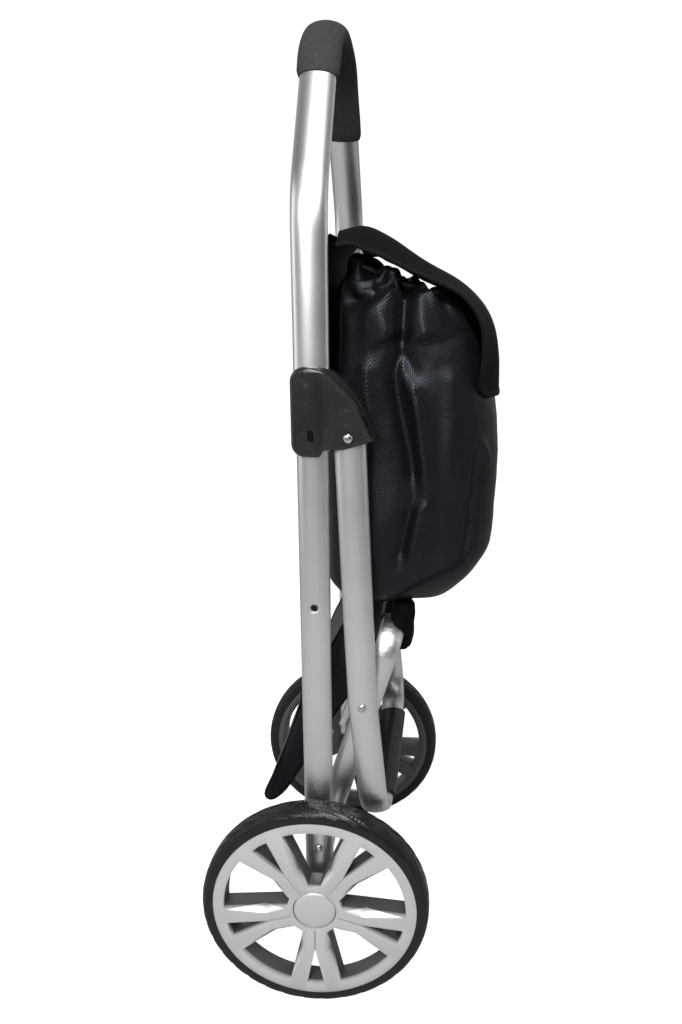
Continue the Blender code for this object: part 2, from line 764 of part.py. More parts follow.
def make_base_frame():
    body = axis_empty("base_frame_axis", 0.0, BASE_PIVOT_Z)
    start = base_point(BASE_X, -BASE_OVERHANG)
    corner = base_point(BASE_X, BASE_LENGTH)
    path = mirrored_path([(start, 0.0), (corner, BASE_CORNER_RADIUS)])
    broad = Vector((0.0, math.cos(BASE_ANGLE), math.sin(BASE_ANGLE)))
    bore = (BASE_HALF[0] - BASE_WALL, BASE_HALF[1] - BASE_WALL)
    tube = bmesh.new()
    hollow_sweep(tube, path, broad, oval(BASE_HALF), oval(bore))
    item = add_object("base_tube", tube, aluminium(), body)
    holes = bmesh.new()
    for _, side in SIDES:
        for centre in ((0.0, BASE_PIVOT_Z), LINK):
            rod(holes, side * 0.120, side * 0.150, SCREW_HOLE_RADIUS, centre)
    boolean(item, add_tool("base_holes", holes, body))
    make_base_sleeve(body, broad)
    make_base_bushes(body)


def make_base_sleeve(body, broad):
    """The padded sleeve on the base frame's cross bar, which the bag's bottom is hinged on."""
    bore = (BASE_HALF[0] + GAP, BASE_HALF[1] + GAP)
    skin = (bore[0] + SLEEVE_THICKNESS, bore[1] + SLEEVE_THICKNESS)
    path = [base_point(x, BASE_LENGTH) for x in (BASE_SLEEVE_HALF_LENGTH, -BASE_SLEEVE_HALF_LENGTH)]
    sleeve = bmesh.new()
    hollow_sweep(sleeve, path, broad, oval(skin), oval(bore))
    add_object("base_sleeve", sleeve, rubber(), body)


def make_base_bushes(body):
    """Washers that keep the base frame clear of the tubes outside it."""
    inner_x = BASE_X + BASE_HALF[1] + GAP
    outer_x = LEG_X - LEG_HALF[1] - GAP
    for name, side in SIDES:
        pivot = bmesh.new()
        washer_x = (side * inner_x, side * outer_x)
        ring_x(pivot, *washer_x, SCREW_HOLE_RADIUS, 0.0080, (0.0, BASE_PIVOT_Z), 16)
        add_object(f"pivot_bush_{name}", pivot, black_plastic(), body)
        link = bmesh.new()
        washer_x = (side * inner_x, side * (outer_x - GAP))
        ring_x(link, *washer_x, SCREW_HOLE_RADIUS, 0.0070, LINK, 16)
        add_object(f"link_bush_{name}", link, black_plastic(), body)


# Bag base, as (distance from the cross bar along the board, height above the board)
BAG_BASE_OUTLINE = (
    (0.024, 0.000),
    (0.272, 0.000),
    (0.289, 0.006),
    (0.289, 0.013),
    (0.197, 0.031),
    (0.126, 0.048),
    (0.046, 0.048),
    (0.024, 0.020),
)


def make_bag_base():
    """The bag's stiffened bottom, hinged on the base frame's cross bar and hanging to the rear."""
    bar = base_point(0.0, BASE_LENGTH)
    body = axis_empty("bag_base_axis", bar.y, bar.z)
    along = (math.sin(BAG_BASE_ANGLE), -math.cos(BAG_BASE_ANGLE))
    above = (math.cos(BAG_BASE_ANGLE), math.sin(BAG_BASE_ANGLE))
    outline = []
    for s, n in BAG_BASE_OUTLINE:
        outline.append((bar.y + s * along[0] + n * above[0], bar.z + s * along[1] + n * above[1]))
    board = bmesh.new()
    slab(board, outline, -BAG_BASE_HALF_WIDTH, BAG_BASE_HALF_WIDTH)
    add_object("bag_base", board, bag_fabric(), body)


# Wheels
TYRE_PROFILE = (
    (0.1640, TYRE_SEAT_RADIUS),
    (0.1640, 0.1335),
    (0.1670, 0.1378),
    (0.1725, WHEEL_RADIUS),
    (0.1873, WHEEL_RADIUS),
    (0.1928, 0.1378),
    (0.1958, 0.1335),
    (0.1958, TYRE_SEAT_RADIUS),
)
# One pair of spokes as (distance from the axle, offset from the pair's middle line), one side of it
SPOKE_OUTER_EDGE = ((0.0270, 0.0115), (0.0600, 0.0154), (0.1165, 0.0310))
SPOKE_INNER_EDGE = ((0.1165, 0.0122), (0.0610, 0.0008))


def make_rim(name, side, body):
    """Barrel, hub and five pairs of spokes in one moulding."""
    centre = (0.0, AXLE_Z)
    barrel = bmesh.new()
    profile = [
        (RIM_X[0], RIM_INNER_RADIUS + 0.004),
        (RIM_X[0], RIM_RADIUS),
        (RIM_X[1], RIM_RADIUS),
        (RIM_X[1], RIM_INNER_RADIUS),
        (SPOKE_X[0] + 0.004, RIM_INNER_RADIUS),
    ]
    turned(barrel, [(side * x, r) for x, r in profile], centre, TYRE_FACETS, closed=True)
    item = add_object(f"rim_{name}", barrel, silver_plastic(), body)
    hub = bmesh.new()
    profile = [
        (RIM_X[0], HUB_BORE_RADIUS),
        (RIM_X[0], HUB_RADIUS),
        (0.1925, HUB_RADIUS),
        (0.1925, CAP_SEAT_RADIUS),
        (0.1870, CAP_SEAT_RADIUS),
        (0.1870, HUB_BORE_RADIUS),
    ]
    turned(hub, [(side * x, r) for x, r in profile], centre, 24, closed=True)
    spokes = bmesh.new()
    half = SPOKE_OUTER_EDGE + SPOKE_INNER_EDGE
    pair = list(half) + [(u, -v) for u, v in reversed(half)]
    for k in range(SPOKE_PAIRS):
        turn = 2 * math.pi * k / SPOKE_PAIRS
        outline = []
        for u, v in pair:
            y = u * math.sin(turn) + v * math.cos(turn)
            z = AXLE_Z - u * math.cos(turn) + v * math.sin(turn)
            outline.append((y, z))
        slab(spokes, outline, side * SPOKE_X[0], side * SPOKE_X[1])
    hub_tool = add_tool(f"rim_hub_{name}", hub, body)
    spoke_tool = add_tool(f"rim_spokes_{name}", spokes, body)
    boolean(hub_tool, spoke_tool, "UNION")
    boolean(item, hub_tool, "UNION")
    seat = bmesh.new()
    rod(seat, side * 0.1870, side * 0.2000, CAP_SEAT_RADIUS, centre, 24)
    rod(seat, side * 0.1600, side * 0.1880, HUB_BORE_RADIUS, centre, 24)
    boolean(item, add_tool(f"rim_seat_{name}", seat, body))


def make_wheel(name, side):
    body = axis_empty(f"wheel_{name}_axis", 0.0, AXLE_Z, side * (TYRE_X[0] + TYRE_X[1]) / 2)
    centre = (0.0, AXLE_Z)
    tyre = bmesh.new()
    turned(tyre, [(side * x, r) for x, r in TYRE_PROFILE], centre, TYRE_FACETS, closed=True)
    add_object(f"tyre_{name}", tyre, rubber(), body)
    make_rim(name, side, body)
    bush = bmesh.new()
    ring_x(bush, side * 0.1655, side * 0.1866, BUSH_BORE_RADIUS, BUSH_RADIUS, centre)
    add_object(f"wheel_bush_{name}", bush, black_plastic(), body)
    cap = bmesh.new()
    profile = [
        (0.1906, 0.0),
        (0.1906, CAP_RADIUS - 0.0015),
        (0.1876, CAP_RADIUS - 0.0015),
        (0.1876, CAP_RADIUS),
        (0.1930, CAP_RADIUS),
        (0.1945, CAP_RADIUS * 0.94),
        (0.1962, CAP_RADIUS * 0.72),
        (0.1972, CAP_RADIUS * 0.40),
        (CAP_TOP_X, 0.0),
    ]
    turned(cap, [(side * x, r) for x, r in profile], centre, 24, closed=False)
    add_object(f"hub_cap_{name}", cap, silver_plastic(), body)


def build_trolley():
    clear_scene()
    for name, side in SIDES:
        make_leg(name, side)
        make_axle_bracket(name, side)
        make_latch_spring(name, side)
        make_base_pivot_screw(name, side)
    make_axle()
    handle = axis_empty("handle_frame_axis", 0.0, HANDLE_BOTTOM_Z)
    make_handle_tube(handle)
    make_grip(handle)
    for name, side in SIDES:
        make_shoulder_half(name, side, "outer", handle)
        make_shoulder_half(name, side, "inner", handle)
        make_shoulder_screw(name, side, handle)
        make_lock_button(name, side)
    make_bag_rail(handle)
    make_bag_body(handle)
    make_bag_flap()
    make_front_leg()
    make_base_frame()
    make_bag_base()
    for name, side in SIDES:
        make_wheel(name, side)


build_trolley()
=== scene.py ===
"""Looks of the folding shopping trolley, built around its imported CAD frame. Metres, +Z up, bag at -Y."""

import json
import math

import bmesh
import bpy
import numpy as np
from mathutils import Matrix, Vector, noise


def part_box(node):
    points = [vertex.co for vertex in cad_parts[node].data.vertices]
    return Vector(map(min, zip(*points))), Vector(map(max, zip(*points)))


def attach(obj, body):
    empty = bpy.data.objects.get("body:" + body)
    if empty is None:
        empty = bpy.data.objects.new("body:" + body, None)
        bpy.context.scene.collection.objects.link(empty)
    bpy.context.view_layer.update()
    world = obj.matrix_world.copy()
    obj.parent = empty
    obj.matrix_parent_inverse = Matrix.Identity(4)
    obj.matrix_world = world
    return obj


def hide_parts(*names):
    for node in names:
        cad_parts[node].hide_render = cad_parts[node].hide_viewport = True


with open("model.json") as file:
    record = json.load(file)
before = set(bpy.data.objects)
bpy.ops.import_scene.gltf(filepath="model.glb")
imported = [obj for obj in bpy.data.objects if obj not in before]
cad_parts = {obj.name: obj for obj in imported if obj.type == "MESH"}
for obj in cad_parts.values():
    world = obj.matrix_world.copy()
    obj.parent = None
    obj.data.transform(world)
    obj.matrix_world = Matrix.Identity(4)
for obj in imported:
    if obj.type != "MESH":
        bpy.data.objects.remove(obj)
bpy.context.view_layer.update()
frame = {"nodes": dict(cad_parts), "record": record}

SIDES = (("left", 1), ("right", -1))


def middle(node):
    low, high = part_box(node)
    return (low + high) / 2


LEG_Y = middle("axle").y
AXLE_Z = middle("axle").z
LEG_X = middle("leg_tube_left").x


# Camera
def make_camera():
    data = bpy.data.cameras.new("camera")
    camera = bpy.data.objects.new("camera", data)
    bpy.context.scene.collection.objects.link(camera)
    place = Vector((-0.9498, LEG_Y - 0.1463, 0.8708))
    yaw, pitch, roll = 0.0302, -0.2742, 0.0237
    forward = Vector((
        math.cos(pitch) * math.cos(yaw),
        math.cos(pitch) * math.sin(yaw),
        math.sin(pitch),
    ))
    right = Vector((math.sin(yaw), -math.cos(yaw), 0.0))
    up = right.cross(forward)
    rolled_right = right * math.cos(roll) + up * math.sin(roll)
    rolled_up = up * math.cos(roll) - right * math.sin(roll)
    turn = Matrix((rolled_right, rolled_up, -forward)).transposed()
    camera.matrix_world = Matrix.Translation(place) @ turn.to_4x4()
    data.sensor_width = 36.0
    data.lens = 26.72
    data.shift_x = -0.0821
    data.shift_y = -0.0060
    data.clip_start = 0.02
    bpy.context.scene.camera = camera


# Node helpers
def feed(tree, socket, value):
    """Links value to a socket if it is another node's output, and otherwise sets it there."""
    if isinstance(value, bpy.types.NodeSocket):
        tree.links.new(value, socket)
    else:
        socket.default_value = value


def add_node(tree, kind, **inputs):
    """A new node. The name of an input has _ in place of each space."""
    made = tree.nodes.new(kind)
    for name, value in inputs.items():
        feed(tree, made.inputs[name.replace("_", " ")], value)
    return made


def map_range(tree, value, low, high, low_at=0.0, high_at=1.0):
    """A node for a number that goes from low to high as value goes from low_at to high_at."""
    return add_node(tree, "ShaderNodeMapRange", Value=value, From_Min=low_at, From_Max=high_at,
                    To_Min=low, To_Max=high)


def add_camera_only(tree, seen, lit):
    """A number that is seen for the camera's own rays, and lit for the light that falls on things."""
    rays = add_node(tree, "ShaderNodeLightPath").outputs["Is Camera Ray"]
    return map_range(tree, rays, lit, seen).outputs[0]


class Shader:
    """A material with short ways to add nodes to it."""

    def __init__(self, name, colour, roughness, metallic=0.0, specular=0.5):
        self.made = bpy.data.materials.new(name)
        self.made.use_nodes = True
        self.tree = self.made.node_tree
        self.bsdf = self.tree.nodes["Principled BSDF"]
        self.set("Base Color", (*colour, 1.0))
        self.set("Roughness", roughness)
        self.set("Metallic", metallic)
        self.set("Specular IOR Level", specular)
        self.heights = []

    def set(self, socket, value):
        feed(self.tree, self.bsdf.inputs[socket], value)

    def node(self, kind, **inputs):
        return add_node(self.tree, kind, **inputs)

    def math(self, operation, a, b=0.0):
        made = self.node("ShaderNodeMath")
        made.operation = operation
        feed(self.tree, made.inputs[0], a)
        feed(self.tree, made.inputs[1], b)
        return made.outputs[0]

    def coordinates(self, output="Object"):
        return self.node("ShaderNodeTexCoord").outputs[output]

    def noise(self, scale, detail=3.0, stretch=None):
        where = self.coordinates()
        if stretch:
            where = self.node("ShaderNodeMapping", Vector=where, Scale=stretch).outputs[0]
        made = self.node("ShaderNodeTexNoise", Vector=where, Scale=scale, Detail=detail, Roughness=0.5)
        return made.outputs["Fac"]

    def ramp(self, value, low, high, low_at=0.0, high_at=1.0):
        return map_range(self.tree, value, low, high, low_at, high_at).outputs[0]

    def colours(self, value, *stops):
        """A colour that goes between two stops of (place, colour)."""
        made = self.node("ShaderNodeValToRGB", Fac=value)
        for element, (place, colour) in zip(made.color_ramp.elements, stops):
            element.position = place
            element.color = (*colour, 1.0)
        return made.outputs["Color"]

    def bump(self, height, distance, strength=1.0):
        """Adds a bump of that height in metres on top of the ones before."""
        made = self.node("ShaderNodeBump", Height=height, Distance=distance, Strength=strength)
        if self.heights:
            feed(self.tree, made.inputs["Normal"], self.heights[-1].outputs[0])
        self.heights.append(made)
        self.set("Normal", made.outputs[0])


# Materials
TUBE_EDGE_RADIUS = 0.0045
SILVER_PAINT = (0.66, 0.66, 0.655)
# The depth across which painted shade darkens the wheel's window walls from silver to near black.
WINDOW_SHADE_FADE_X = (0.1880, 0.1930)
THREAD = 0.0018


def make_aluminium():
    s = Shader("satin_aluminium", (0.74, 0.73, 0.72), 0.34, metallic=1.0)
    cloud = s.noise(9.0, 2.0)
    s.set("Roughness", s.ramp(cloud, 0.30, 0.40))
    s.set("Base Color", s.colours(cloud, (0.3, (0.71, 0.70, 0.69)), (0.7, (0.78, 0.77, 0.76))))
    s.bump(s.noise(1800.0, 2.0, stretch=(1.0, 1.0, 0.06)), 0.00004, 0.5)
    rounded = s.node("ShaderNodeBevel", Radius=TUBE_EDGE_RADIUS)
    rounded.samples = 6
    feed(s.tree, s.heights[0].inputs["Normal"], rounded.outputs[0])
    return s.made


def make_steel():
    s = Shader("zinc_steel", (0.66, 0.66, 0.67), 0.24, metallic=1.0)
    s.set("Roughness", s.ramp(s.noise(60.0), 0.18, 0.32))
    s.bump(s.noise(900.0), 0.00004, 0.4)
    return s.made


def make_silver_plastic():
    """Silver paint on the wheel's face, with painted shade that darkens it to near black deeper inside its
    windows.
    """
    s = Shader("silver_moulding", SILVER_PAINT, 0.42, metallic=0.60)
    s.set("Roughness", s.ramp(s.noise(14.0), 0.36, 0.48))
    out_x = s.math("ABSOLUTE", s.node("ShaderNodeSeparateXYZ", Vector=s.coordinates()).outputs[0])
    # Painted shade: the colour goes from silver on the face to near black deeper down the window walls.
    window_shade_mix = s.math("ADD", s.ramp(out_x, 0.0, 1.0, *WINDOW_SHADE_FADE_X), s.ramp(s.noise(30.0), -0.02, 0.02))
    s.set("Base Color", s.colours(window_shade_mix, (0.02, (0.11, 0.11, 0.11)), (0.90, SILVER_PAINT)))
    s.bump(s.noise(2400.0, 1.0), 0.00003, 0.4)
    return s.made


def make_black_plastic():
    s = Shader("black_moulding", (0.012, 0.012, 0.013), 0.26)
    s.set("Roughness", s.ramp(s.noise(24.0), 0.14, 0.38))
    s.bump(s.noise(70.0, 2.0), 0.0016, 0.6)
    s.bump(s.noise(700.0, 4.0), 0.00006, 0.6)
    return s.made


def make_rubber():
    s = Shader("tyre_rubber", (0.006, 0.006, 0.0065), 0.34, specular=0.35)
    s.set("Roughness", s.ramp(s.noise(22.0), 0.26, 0.40))
    mottle = s.noise(40.0)
    s.set("Base Color", s.colours(mottle, (0.3, (0.005, 0.005, 0.0053)), (0.7, (0.009, 0.009, 0.0095))))
    s.bump(s.noise(1500.0, 3.0), 0.00005, 0.5)
    return s.made


def make_foam():
    s = Shader("foam_rubber", (0.022, 0.022, 0.023), 0.80, specular=0.30)
    cells = s.node("ShaderNodeTexVoronoi", Vector=s.coordinates(), Scale=900.0).outputs["Distance"]
    mottle = s.noise(260.0, 4.0)
    s.set("Base Color", s.colours(mottle, (0.3, (0.018, 0.018, 0.019)), (0.7, (0.030, 0.030, 0.031))))
    s.bump(cells, 0.0003, 0.5)
    s.bump(s.noise(240.0, 3.0), 0.00025, 0.35)
    return s.made


def make_fabric(name, colour, lit_crown_colour, roughness, depth=0.00022, specular=0.30):
    """Oxford cloth: a plain weave of flat threads, over UVs in metres, with painted shade between the threads
    and lighter painted thread crowns.
    """
    s = Shader(name, colour, roughness, specular=specular)
    uv = s.node("ShaderNodeSeparateXYZ", Vector=s.coordinates("UV"))
    waves, counts = [], []
    for along in uv.outputs[:2]:
        waves.append(s.math("ABSOLUTE", s.math("SINE", s.math("MULTIPLY", along, math.pi / THREAD))))
        counts.append(s.math("FLOOR", s.math("DIVIDE", along, THREAD)))
    cell = s.math("ADD", *counts)
    over = s.math("PINGPONG", cell, 1.0)
    top = s.math("MULTIPLY", waves[0], over)
    under = s.math("MULTIPLY", waves[1], s.math("SUBTRACT", 1.0, over))
    height = s.math("ADD", top, under)
    # Painted shade and highlight: thread crowns get the lighter colour and the dips between threads the
    # darker one.
    s.set("Base Color", s.colours(height, (0.1, colour), (0.95, lit_crown_colour)))
    s.set("Roughness", s.ramp(s.noise(18.0), roughness - 0.06, roughness + 0.07))
    s.set("Specular Tint", (0.82, 0.88, 1.0, 1.0))
    s.bump(height, depth, 0.9)
    s.bump(s.noise(55.0, 4.0), 0.0012, 0.35)
    return s.made


def make_floor_paint():
    s = Shader("pale_floor", (0.42, 0.42, 0.42), 0.65, specular=0.1)
    s.set("Roughness", s.ramp(s.noise(1.5), 0.60, 0.70))
    s.set("Emission Color", (1.0, 1.0, 1.0, 1.0))
    s.set("Emission Strength", add_camera_only(s.tree, 0.95, 0.0))
    return s.made


# Painted shade: the lock buttons are made near black so that their slots read as dark, shaded holes.
def make_lock_slot_shade():
    s = Shader("lock_slot_painted_shade", (0.002, 0.002, 0.002), 0.70, specular=0.08)
    s.set("Roughness", s.ramp(s.noise(40.0), 0.62, 0.78))
    return s.made


ALUMINIUM = make_aluminium()
LOCK_SLOT_SHADE = make_lock_slot_shade()
STEEL = make_steel()
SILVER = make_silver_plastic()
BLACK = make_black_plastic()
RUBBER = make_rubber()
FOAM = make_foam()
FABRIC = make_fabric("black_oxford", (0.0020, 0.0021, 0.0027), (0.0040, 0.0043, 0.0056), 0.32)
LID_FABRIC = make_fabric("lid_oxford", (0.0010, 0.0011, 0.0014), (0.0028, 0.0030, 0.0036), 0.62,
                         specular=0.06)
BINDING = make_fabric("black_binding", (0.0020, 0.0020, 0.0024), (0.0050, 0.0052, 0.0060), 0.60,
                      0.00030, 0.08)


# Piece helpers
def finish_piece(item, body, nodes=(), smooth=40.0):
    """Shades a piece smooth up to an angle, and makes it ride on its body in place of its CAD nodes."""
    item.data.shade_smooth()
    item.data.set_sharp_from_angle(angle=math.radians(smooth))
    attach(item, body)
    if nodes:
        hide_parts(*nodes)


def new_piece(name, mesh, finish):
    item = bpy.data.objects.new(name, mesh)
    mesh.materials.append(finish)
    bpy.context.scene.collection.objects.link(item)
    return item


def mesh_from_bmesh(name, bm):
    bmesh.ops.remove_doubles(bm, verts=bm.verts, dist=1e-6)
    bmesh.ops.recalc_face_normals(bm, faces=bm.faces)
    mesh = bpy.data.meshes.new(name)
    bm.to_mesh(mesh)
    bm.free()
    return mesh


def add_rings(bm, rings, capped=True):
    """Joins rings of points into one surface. A ring of one point is a pole."""
    rows = [[bm.verts.new(p) for p in ring] for ring in rings]
    for row, following in zip(rows, rows[1:]):
        count = max(len(row), len(following))
        for i in range(count):
            j = (i + 1) % count
            if len(row) == 1:
                bm.faces.new((row[0], following[j], following[i]))
            elif len(following) == 1:
                bm.faces.new((row[i], row[j], following[0]))
            else:
                bm.faces.new((row[i], row[j], following[j], following[i]))
    for end in (rows[0], rows[-1]):
        if capped and len(end) > 2:
            bm.faces.new(end)


def ring_mesh(name, rings, loop=False):
    """A mesh of rings of points, capped at its ends, or joined end to end in a loop."""
    bm = bmesh.new()
    add_rings(bm, rings + rings[:1] if loop else rings, capped=not loop)
    return mesh_from_bmesh(name, bm)


def polar(radius, offset, turn, centre):
    """A (y, z) point at a radius along the line turned from straight down, moved sideways by offset."""
    y = centre[0] + radius * math.sin(turn) + offset * math.cos(turn)
    z = centre[1] - radius * math.cos(turn) + offset * math.sin(turn)
    return (y, z)


def turned_rings(profile, side, centre, segments):
    """Rings of a profile of (x, radius) points, turned about the line along X through centre."""
    turns = [2 * math.pi * (i + 0.5) / segments for i in range(segments)]
    return [[Vector((side * x, *polar(radius, 0.0, turn, centre))) for turn in (turns if radius else [0.0])]
            for x, radius in profile]


def turned_mesh(name, profile, side, centre, segments, loop=False):
    return ring_mesh(name, turned_rings(profile, side, centre, segments), loop)


def slab_into(bm, outline, x0, x1):
    add_rings(bm, [[Vector((x, y, z)) for y, z in outline] for x in (x0, x1)])


def cut(item, bm):
    """Cuts a tool's shape out of a piece at once, so that the piece keeps only its final mesh."""
    tool_mesh = mesh_from_bmesh("tool", bm)
    tool = bpy.data.objects.new("tool", tool_mesh)
    bpy.context.scene.collection.objects.link(tool)
    modifier = item.modifiers.new("cut", "BOOLEAN")
    modifier.operation = "DIFFERENCE"
    modifier.solver = "EXACT"
    modifier.object = tool
    apply_modifiers(item)
    bpy.data.objects.remove(tool, do_unlink=True)
    bpy.data.meshes.remove(tool_mesh)


def apply_modifiers(item):
    graph = bpy.context.evaluated_depsgraph_get()
    graph.update()
    baked = bpy.data.meshes.new_from_object(item.evaluated_get(graph))
    baked.name = item.name
    old = item.data
    item.modifiers.clear()
    item.data = baked
    bpy.data.meshes.remove(old)


def soften(item, width, limit):
    """Rounds a piece's edges that are sharper than a limit in degrees."""
    modifier = item.modifiers.new("bevel", "BEVEL")
    modifier.width = width
    modifier.segments = 2
    modifier.limit_method = "ANGLE"
    modifier.angle_limit = math.radians(limit)
    apply_modifiers(item)


def smooth_curve(points, steps):
    """A Catmull-Rom curve through points of any size."""
    points = np.array(points, float)
    ends = np.vstack([points[:1], points, points[-1:]])
    curve = []
    for i in range(1, len(ends) - 2):
        a, b, c, d = ends[i - 1:i + 3]
        for k in range(steps):
            t = k / steps
            curve.append(0.5 * (2 * b + (c - a) * t + (2 * a - 5 * b + 4 * c - d) * t * t
                                + (3 * b - a - 3 * c + d) * t ** 3))
    curve.append(points[-1])
    return np.array(curve)


def heading(path, i, loop=False):
    """The direction of a path of points at its point i."""
    last = len(path) - 1
    ahead = path[(i + 1) % len(path) if loop else min(i + 1, last)]
    behind = path[i - 1 if loop else max(i - 1, 0)]
    return Vector(ahead - behind).normalized()


def run_along(points):
    """The distance along a line of points at each of them."""
    return np.concatenate([[0.0], np.cumsum(np.linalg.norm(np.diff(points, axis=0), axis=1))])


def squared(angle, power):
    """A point of a unit circle that is made squarer by a lower power."""
    c, s = np.cos(angle), np.sin(angle)
    return np.sign(c) * np.abs(c) ** power, np.sign(s) * np.abs(s) ** power


def smoothstep(low, high, value):
    t = np.clip((value - low) / (high - low), 0.0, 1.0)
    return t * t * (3 - 2 * t)


# Wheels
RIM_FACE_X = 0.1950
RIM_BACK_X = 0.1690
RIM_RADIUS = 0.1251
TYRE_BORE_RADIUS = 0.1252
RING_RADIUS = 0.1120
HUB_WINDOW_RADIUS = 0.0315
CAP_RADIUS = 0.0262
SPOKE_PAIRS = 5
PAIR_ANGLE = 2 * math.pi / SPOKE_PAIRS
WINDOW_CUT_X = (0.150, 0.215)
SPOKE_EDGE_AT = ((0.030, 0.0140), (RING_RADIUS, 0.0320))
WINDOW_CORNER = 0.962
CHAMFER_RADII = (0.0315, 0.0590, 0.1085)


def spoke_edge(radius):
    """Half the width of a spoke pair behind its face, at a distance from the axle."""
    (inner, narrow), (outer, broad) = SPOKE_EDGE_AT
    return narrow + (radius - inner) * (broad - narrow) / (outer - inner)


def window_outline(turn, centre):
    """The wide gap between two spoke pairs. turn points at the middle of the gap."""
    start = spoke_edge(HUB_WINDOW_RADIUS)
    end = spoke_edge(RING_RADIUS)
    before = turn - PAIR_ANGLE / 2
    after = turn + PAIR_ANGLE / 2
    first = math.asin(end / RING_RADIUS)
    arc = [(RING_RADIUS, 0.0, before + first + (PAIR_ANGLE - 2 * first) * k / 8) for k in range(9)]
    corners = [
        (HUB_WINDOW_RADIUS, start, before),
        (RING_RADIUS * WINDOW_CORNER, end, before),
        *arc,
        (RING_RADIUS * WINDOW_CORNER, -end, after),
        (HUB_WINDOW_RADIUS, -start, after),
    ]
    return [polar(*corner, centre) for corner in corners]


def split_outline(turn, centre):
    """The narrow V gap inside a spoke pair."""
    corners = ((0.0610, 0.0008), (0.1105, 0.0108), (0.1116, 0.0), (0.1105, -0.0108), (0.0610, -0.0008))
    return [polar(radius, offset, turn, centre) for radius, offset in corners]


def groove_outline(start, end, half, turn, centre):
    """A straight groove between two distances from a centre."""
    corners = ((start, half), (end, half), (end, -half), (start, -half))
    return [polar(radius, offset, turn, centre) for radius, offset in corners]


def chamfer_into(bm, side, turn, centre, hand):
    """The long facet that draws a spoke's face in at its kink."""
    front = side * (RIM_FACE_X + 0.0010)
    deep = side * (RIM_FACE_X - 0.0085)
    start, kink, end = CHAMFER_RADII
    corners = [
        (front, start, spoke_edge(start) - 0.0020),
        (front, kink, 0.0116),
        (front, end, spoke_edge(end) - 0.0006),
        (front, kink, spoke_edge(kink) + 0.004),
        (deep, kink, spoke_edge(kink) + 0.0002),
        (front, end, spoke_edge(end) + 0.004),
        (front, start, spoke_edge(start) + 0.004),
    ]
    verts = [bm.verts.new((x, *polar(radius, hand * offset, turn, centre))) for x, radius, offset in corners]
    bmesh.ops.convex_hull(bm, input=verts)


def make_rim(name, side):
    centre = (LEG_Y, AXLE_Z)
    profile = [
        (0.1660, RING_RADIUS + 0.0040),
        (0.1660, RIM_RADIUS),
        (RIM_FACE_X, RIM_RADIUS),
        (RIM_FACE_X, CAP_RADIUS + 0.0006),
        (0.1872, CAP_RADIUS + 0.0006),
        (0.1872, 0.0136),
        (0.1660, 0.0136),
        (0.1660, 0.0300),
        (RIM_BACK_X, 0.0300),
        (RIM_BACK_X, RING_RADIUS + 0.0030),
    ]
    mesh = turned_mesh("rim", profile, side, centre, 120, loop=True)
    item = new_piece(f"wheel_rim_{name}", mesh, SILVER)
    inner, outer = [side * x for x in WINDOW_CUT_X]
    gaps, facets, grooves = bmesh.new(), bmesh.new(), bmesh.new()
    for k in range(SPOKE_PAIRS):
        turn = PAIR_ANGLE * k
        slab_into(gaps, window_outline(turn + PAIR_ANGLE / 2, centre), inner, outer)
        slab_into(gaps, split_outline(turn, centre), inner, outer)
        for hand in (1, -1):
            chamfer_into(facets, side, turn, centre, hand)
        groove = groove_outline(0.0300, 0.0625, 0.0007, turn, centre)
        slab_into(grooves, groove, side * (RIM_FACE_X - 0.0022), outer)
    for tool in (gaps, facets, grooves):
        cut(item, tool)
    soften(item, 0.0005, 28.0)
    finish_piece(item, f"wheel_{name}", [f"rim_{name}"], 30.0)


def make_hub_cap(name, side):
    centre = (LEG_Y, AXLE_Z)
    profile = [(0.1902, 0.0), (0.1902, 0.0215), (0.1880, 0.0215), (0.1880, CAP_RADIUS - 0.0012),
               (0.1935, CAP_RADIUS - 0.0004)]
    for k in range(9):
        a = math.pi / 2 * k / 8
        profile.append((0.1938 + 0.0034 * math.sin(a), (CAP_RADIUS - 0.0008) * math.cos(a * 0.92)))
    profile[-1] = (0.1972, 0.0)
    profile.insert(-1, (0.19715, 0.0080))
    mesh = turned_mesh("cap", sorted_profile(profile), side, centre, 72)
    item = new_piece(f"wheel_cap_{name}", mesh, SILVER)
    finish_piece(item, f"wheel_{name}", [f"hub_cap_{name}"], 50.0)


def sorted_profile(profile):
    """Keeps the points of a cap's dome in falling order of radius after its rim."""
    head, dome = profile[:5], profile[5:]
    return head + sorted(dome, key=lambda point: -point[1])


TREAD_GROOVES = 34
TREAD_DEPTH = 0.0022
TREAD_LEAN = 0.34
TREAD_CURVE = 1.6
GROOVE_HALF_WIDTH = 0.00150
TYRE_RADIUS = 0.140
TYRE_HALF_WIDTH = 0.0159
TYRE_X = 0.1799
TYRE_BEAD_X = (0.1850, 0.1748)
TYRE_STEPS = 816
TYRE_SIDE = (
    (-0.0156, TYRE_BORE_RADIUS), (-0.0158, 0.1285), (-0.0158, 0.1315), (-0.0154, 0.1348), (-0.0136, 0.1375),
    (-0.0105, 0.1391), (-0.0060, 0.1399),
)


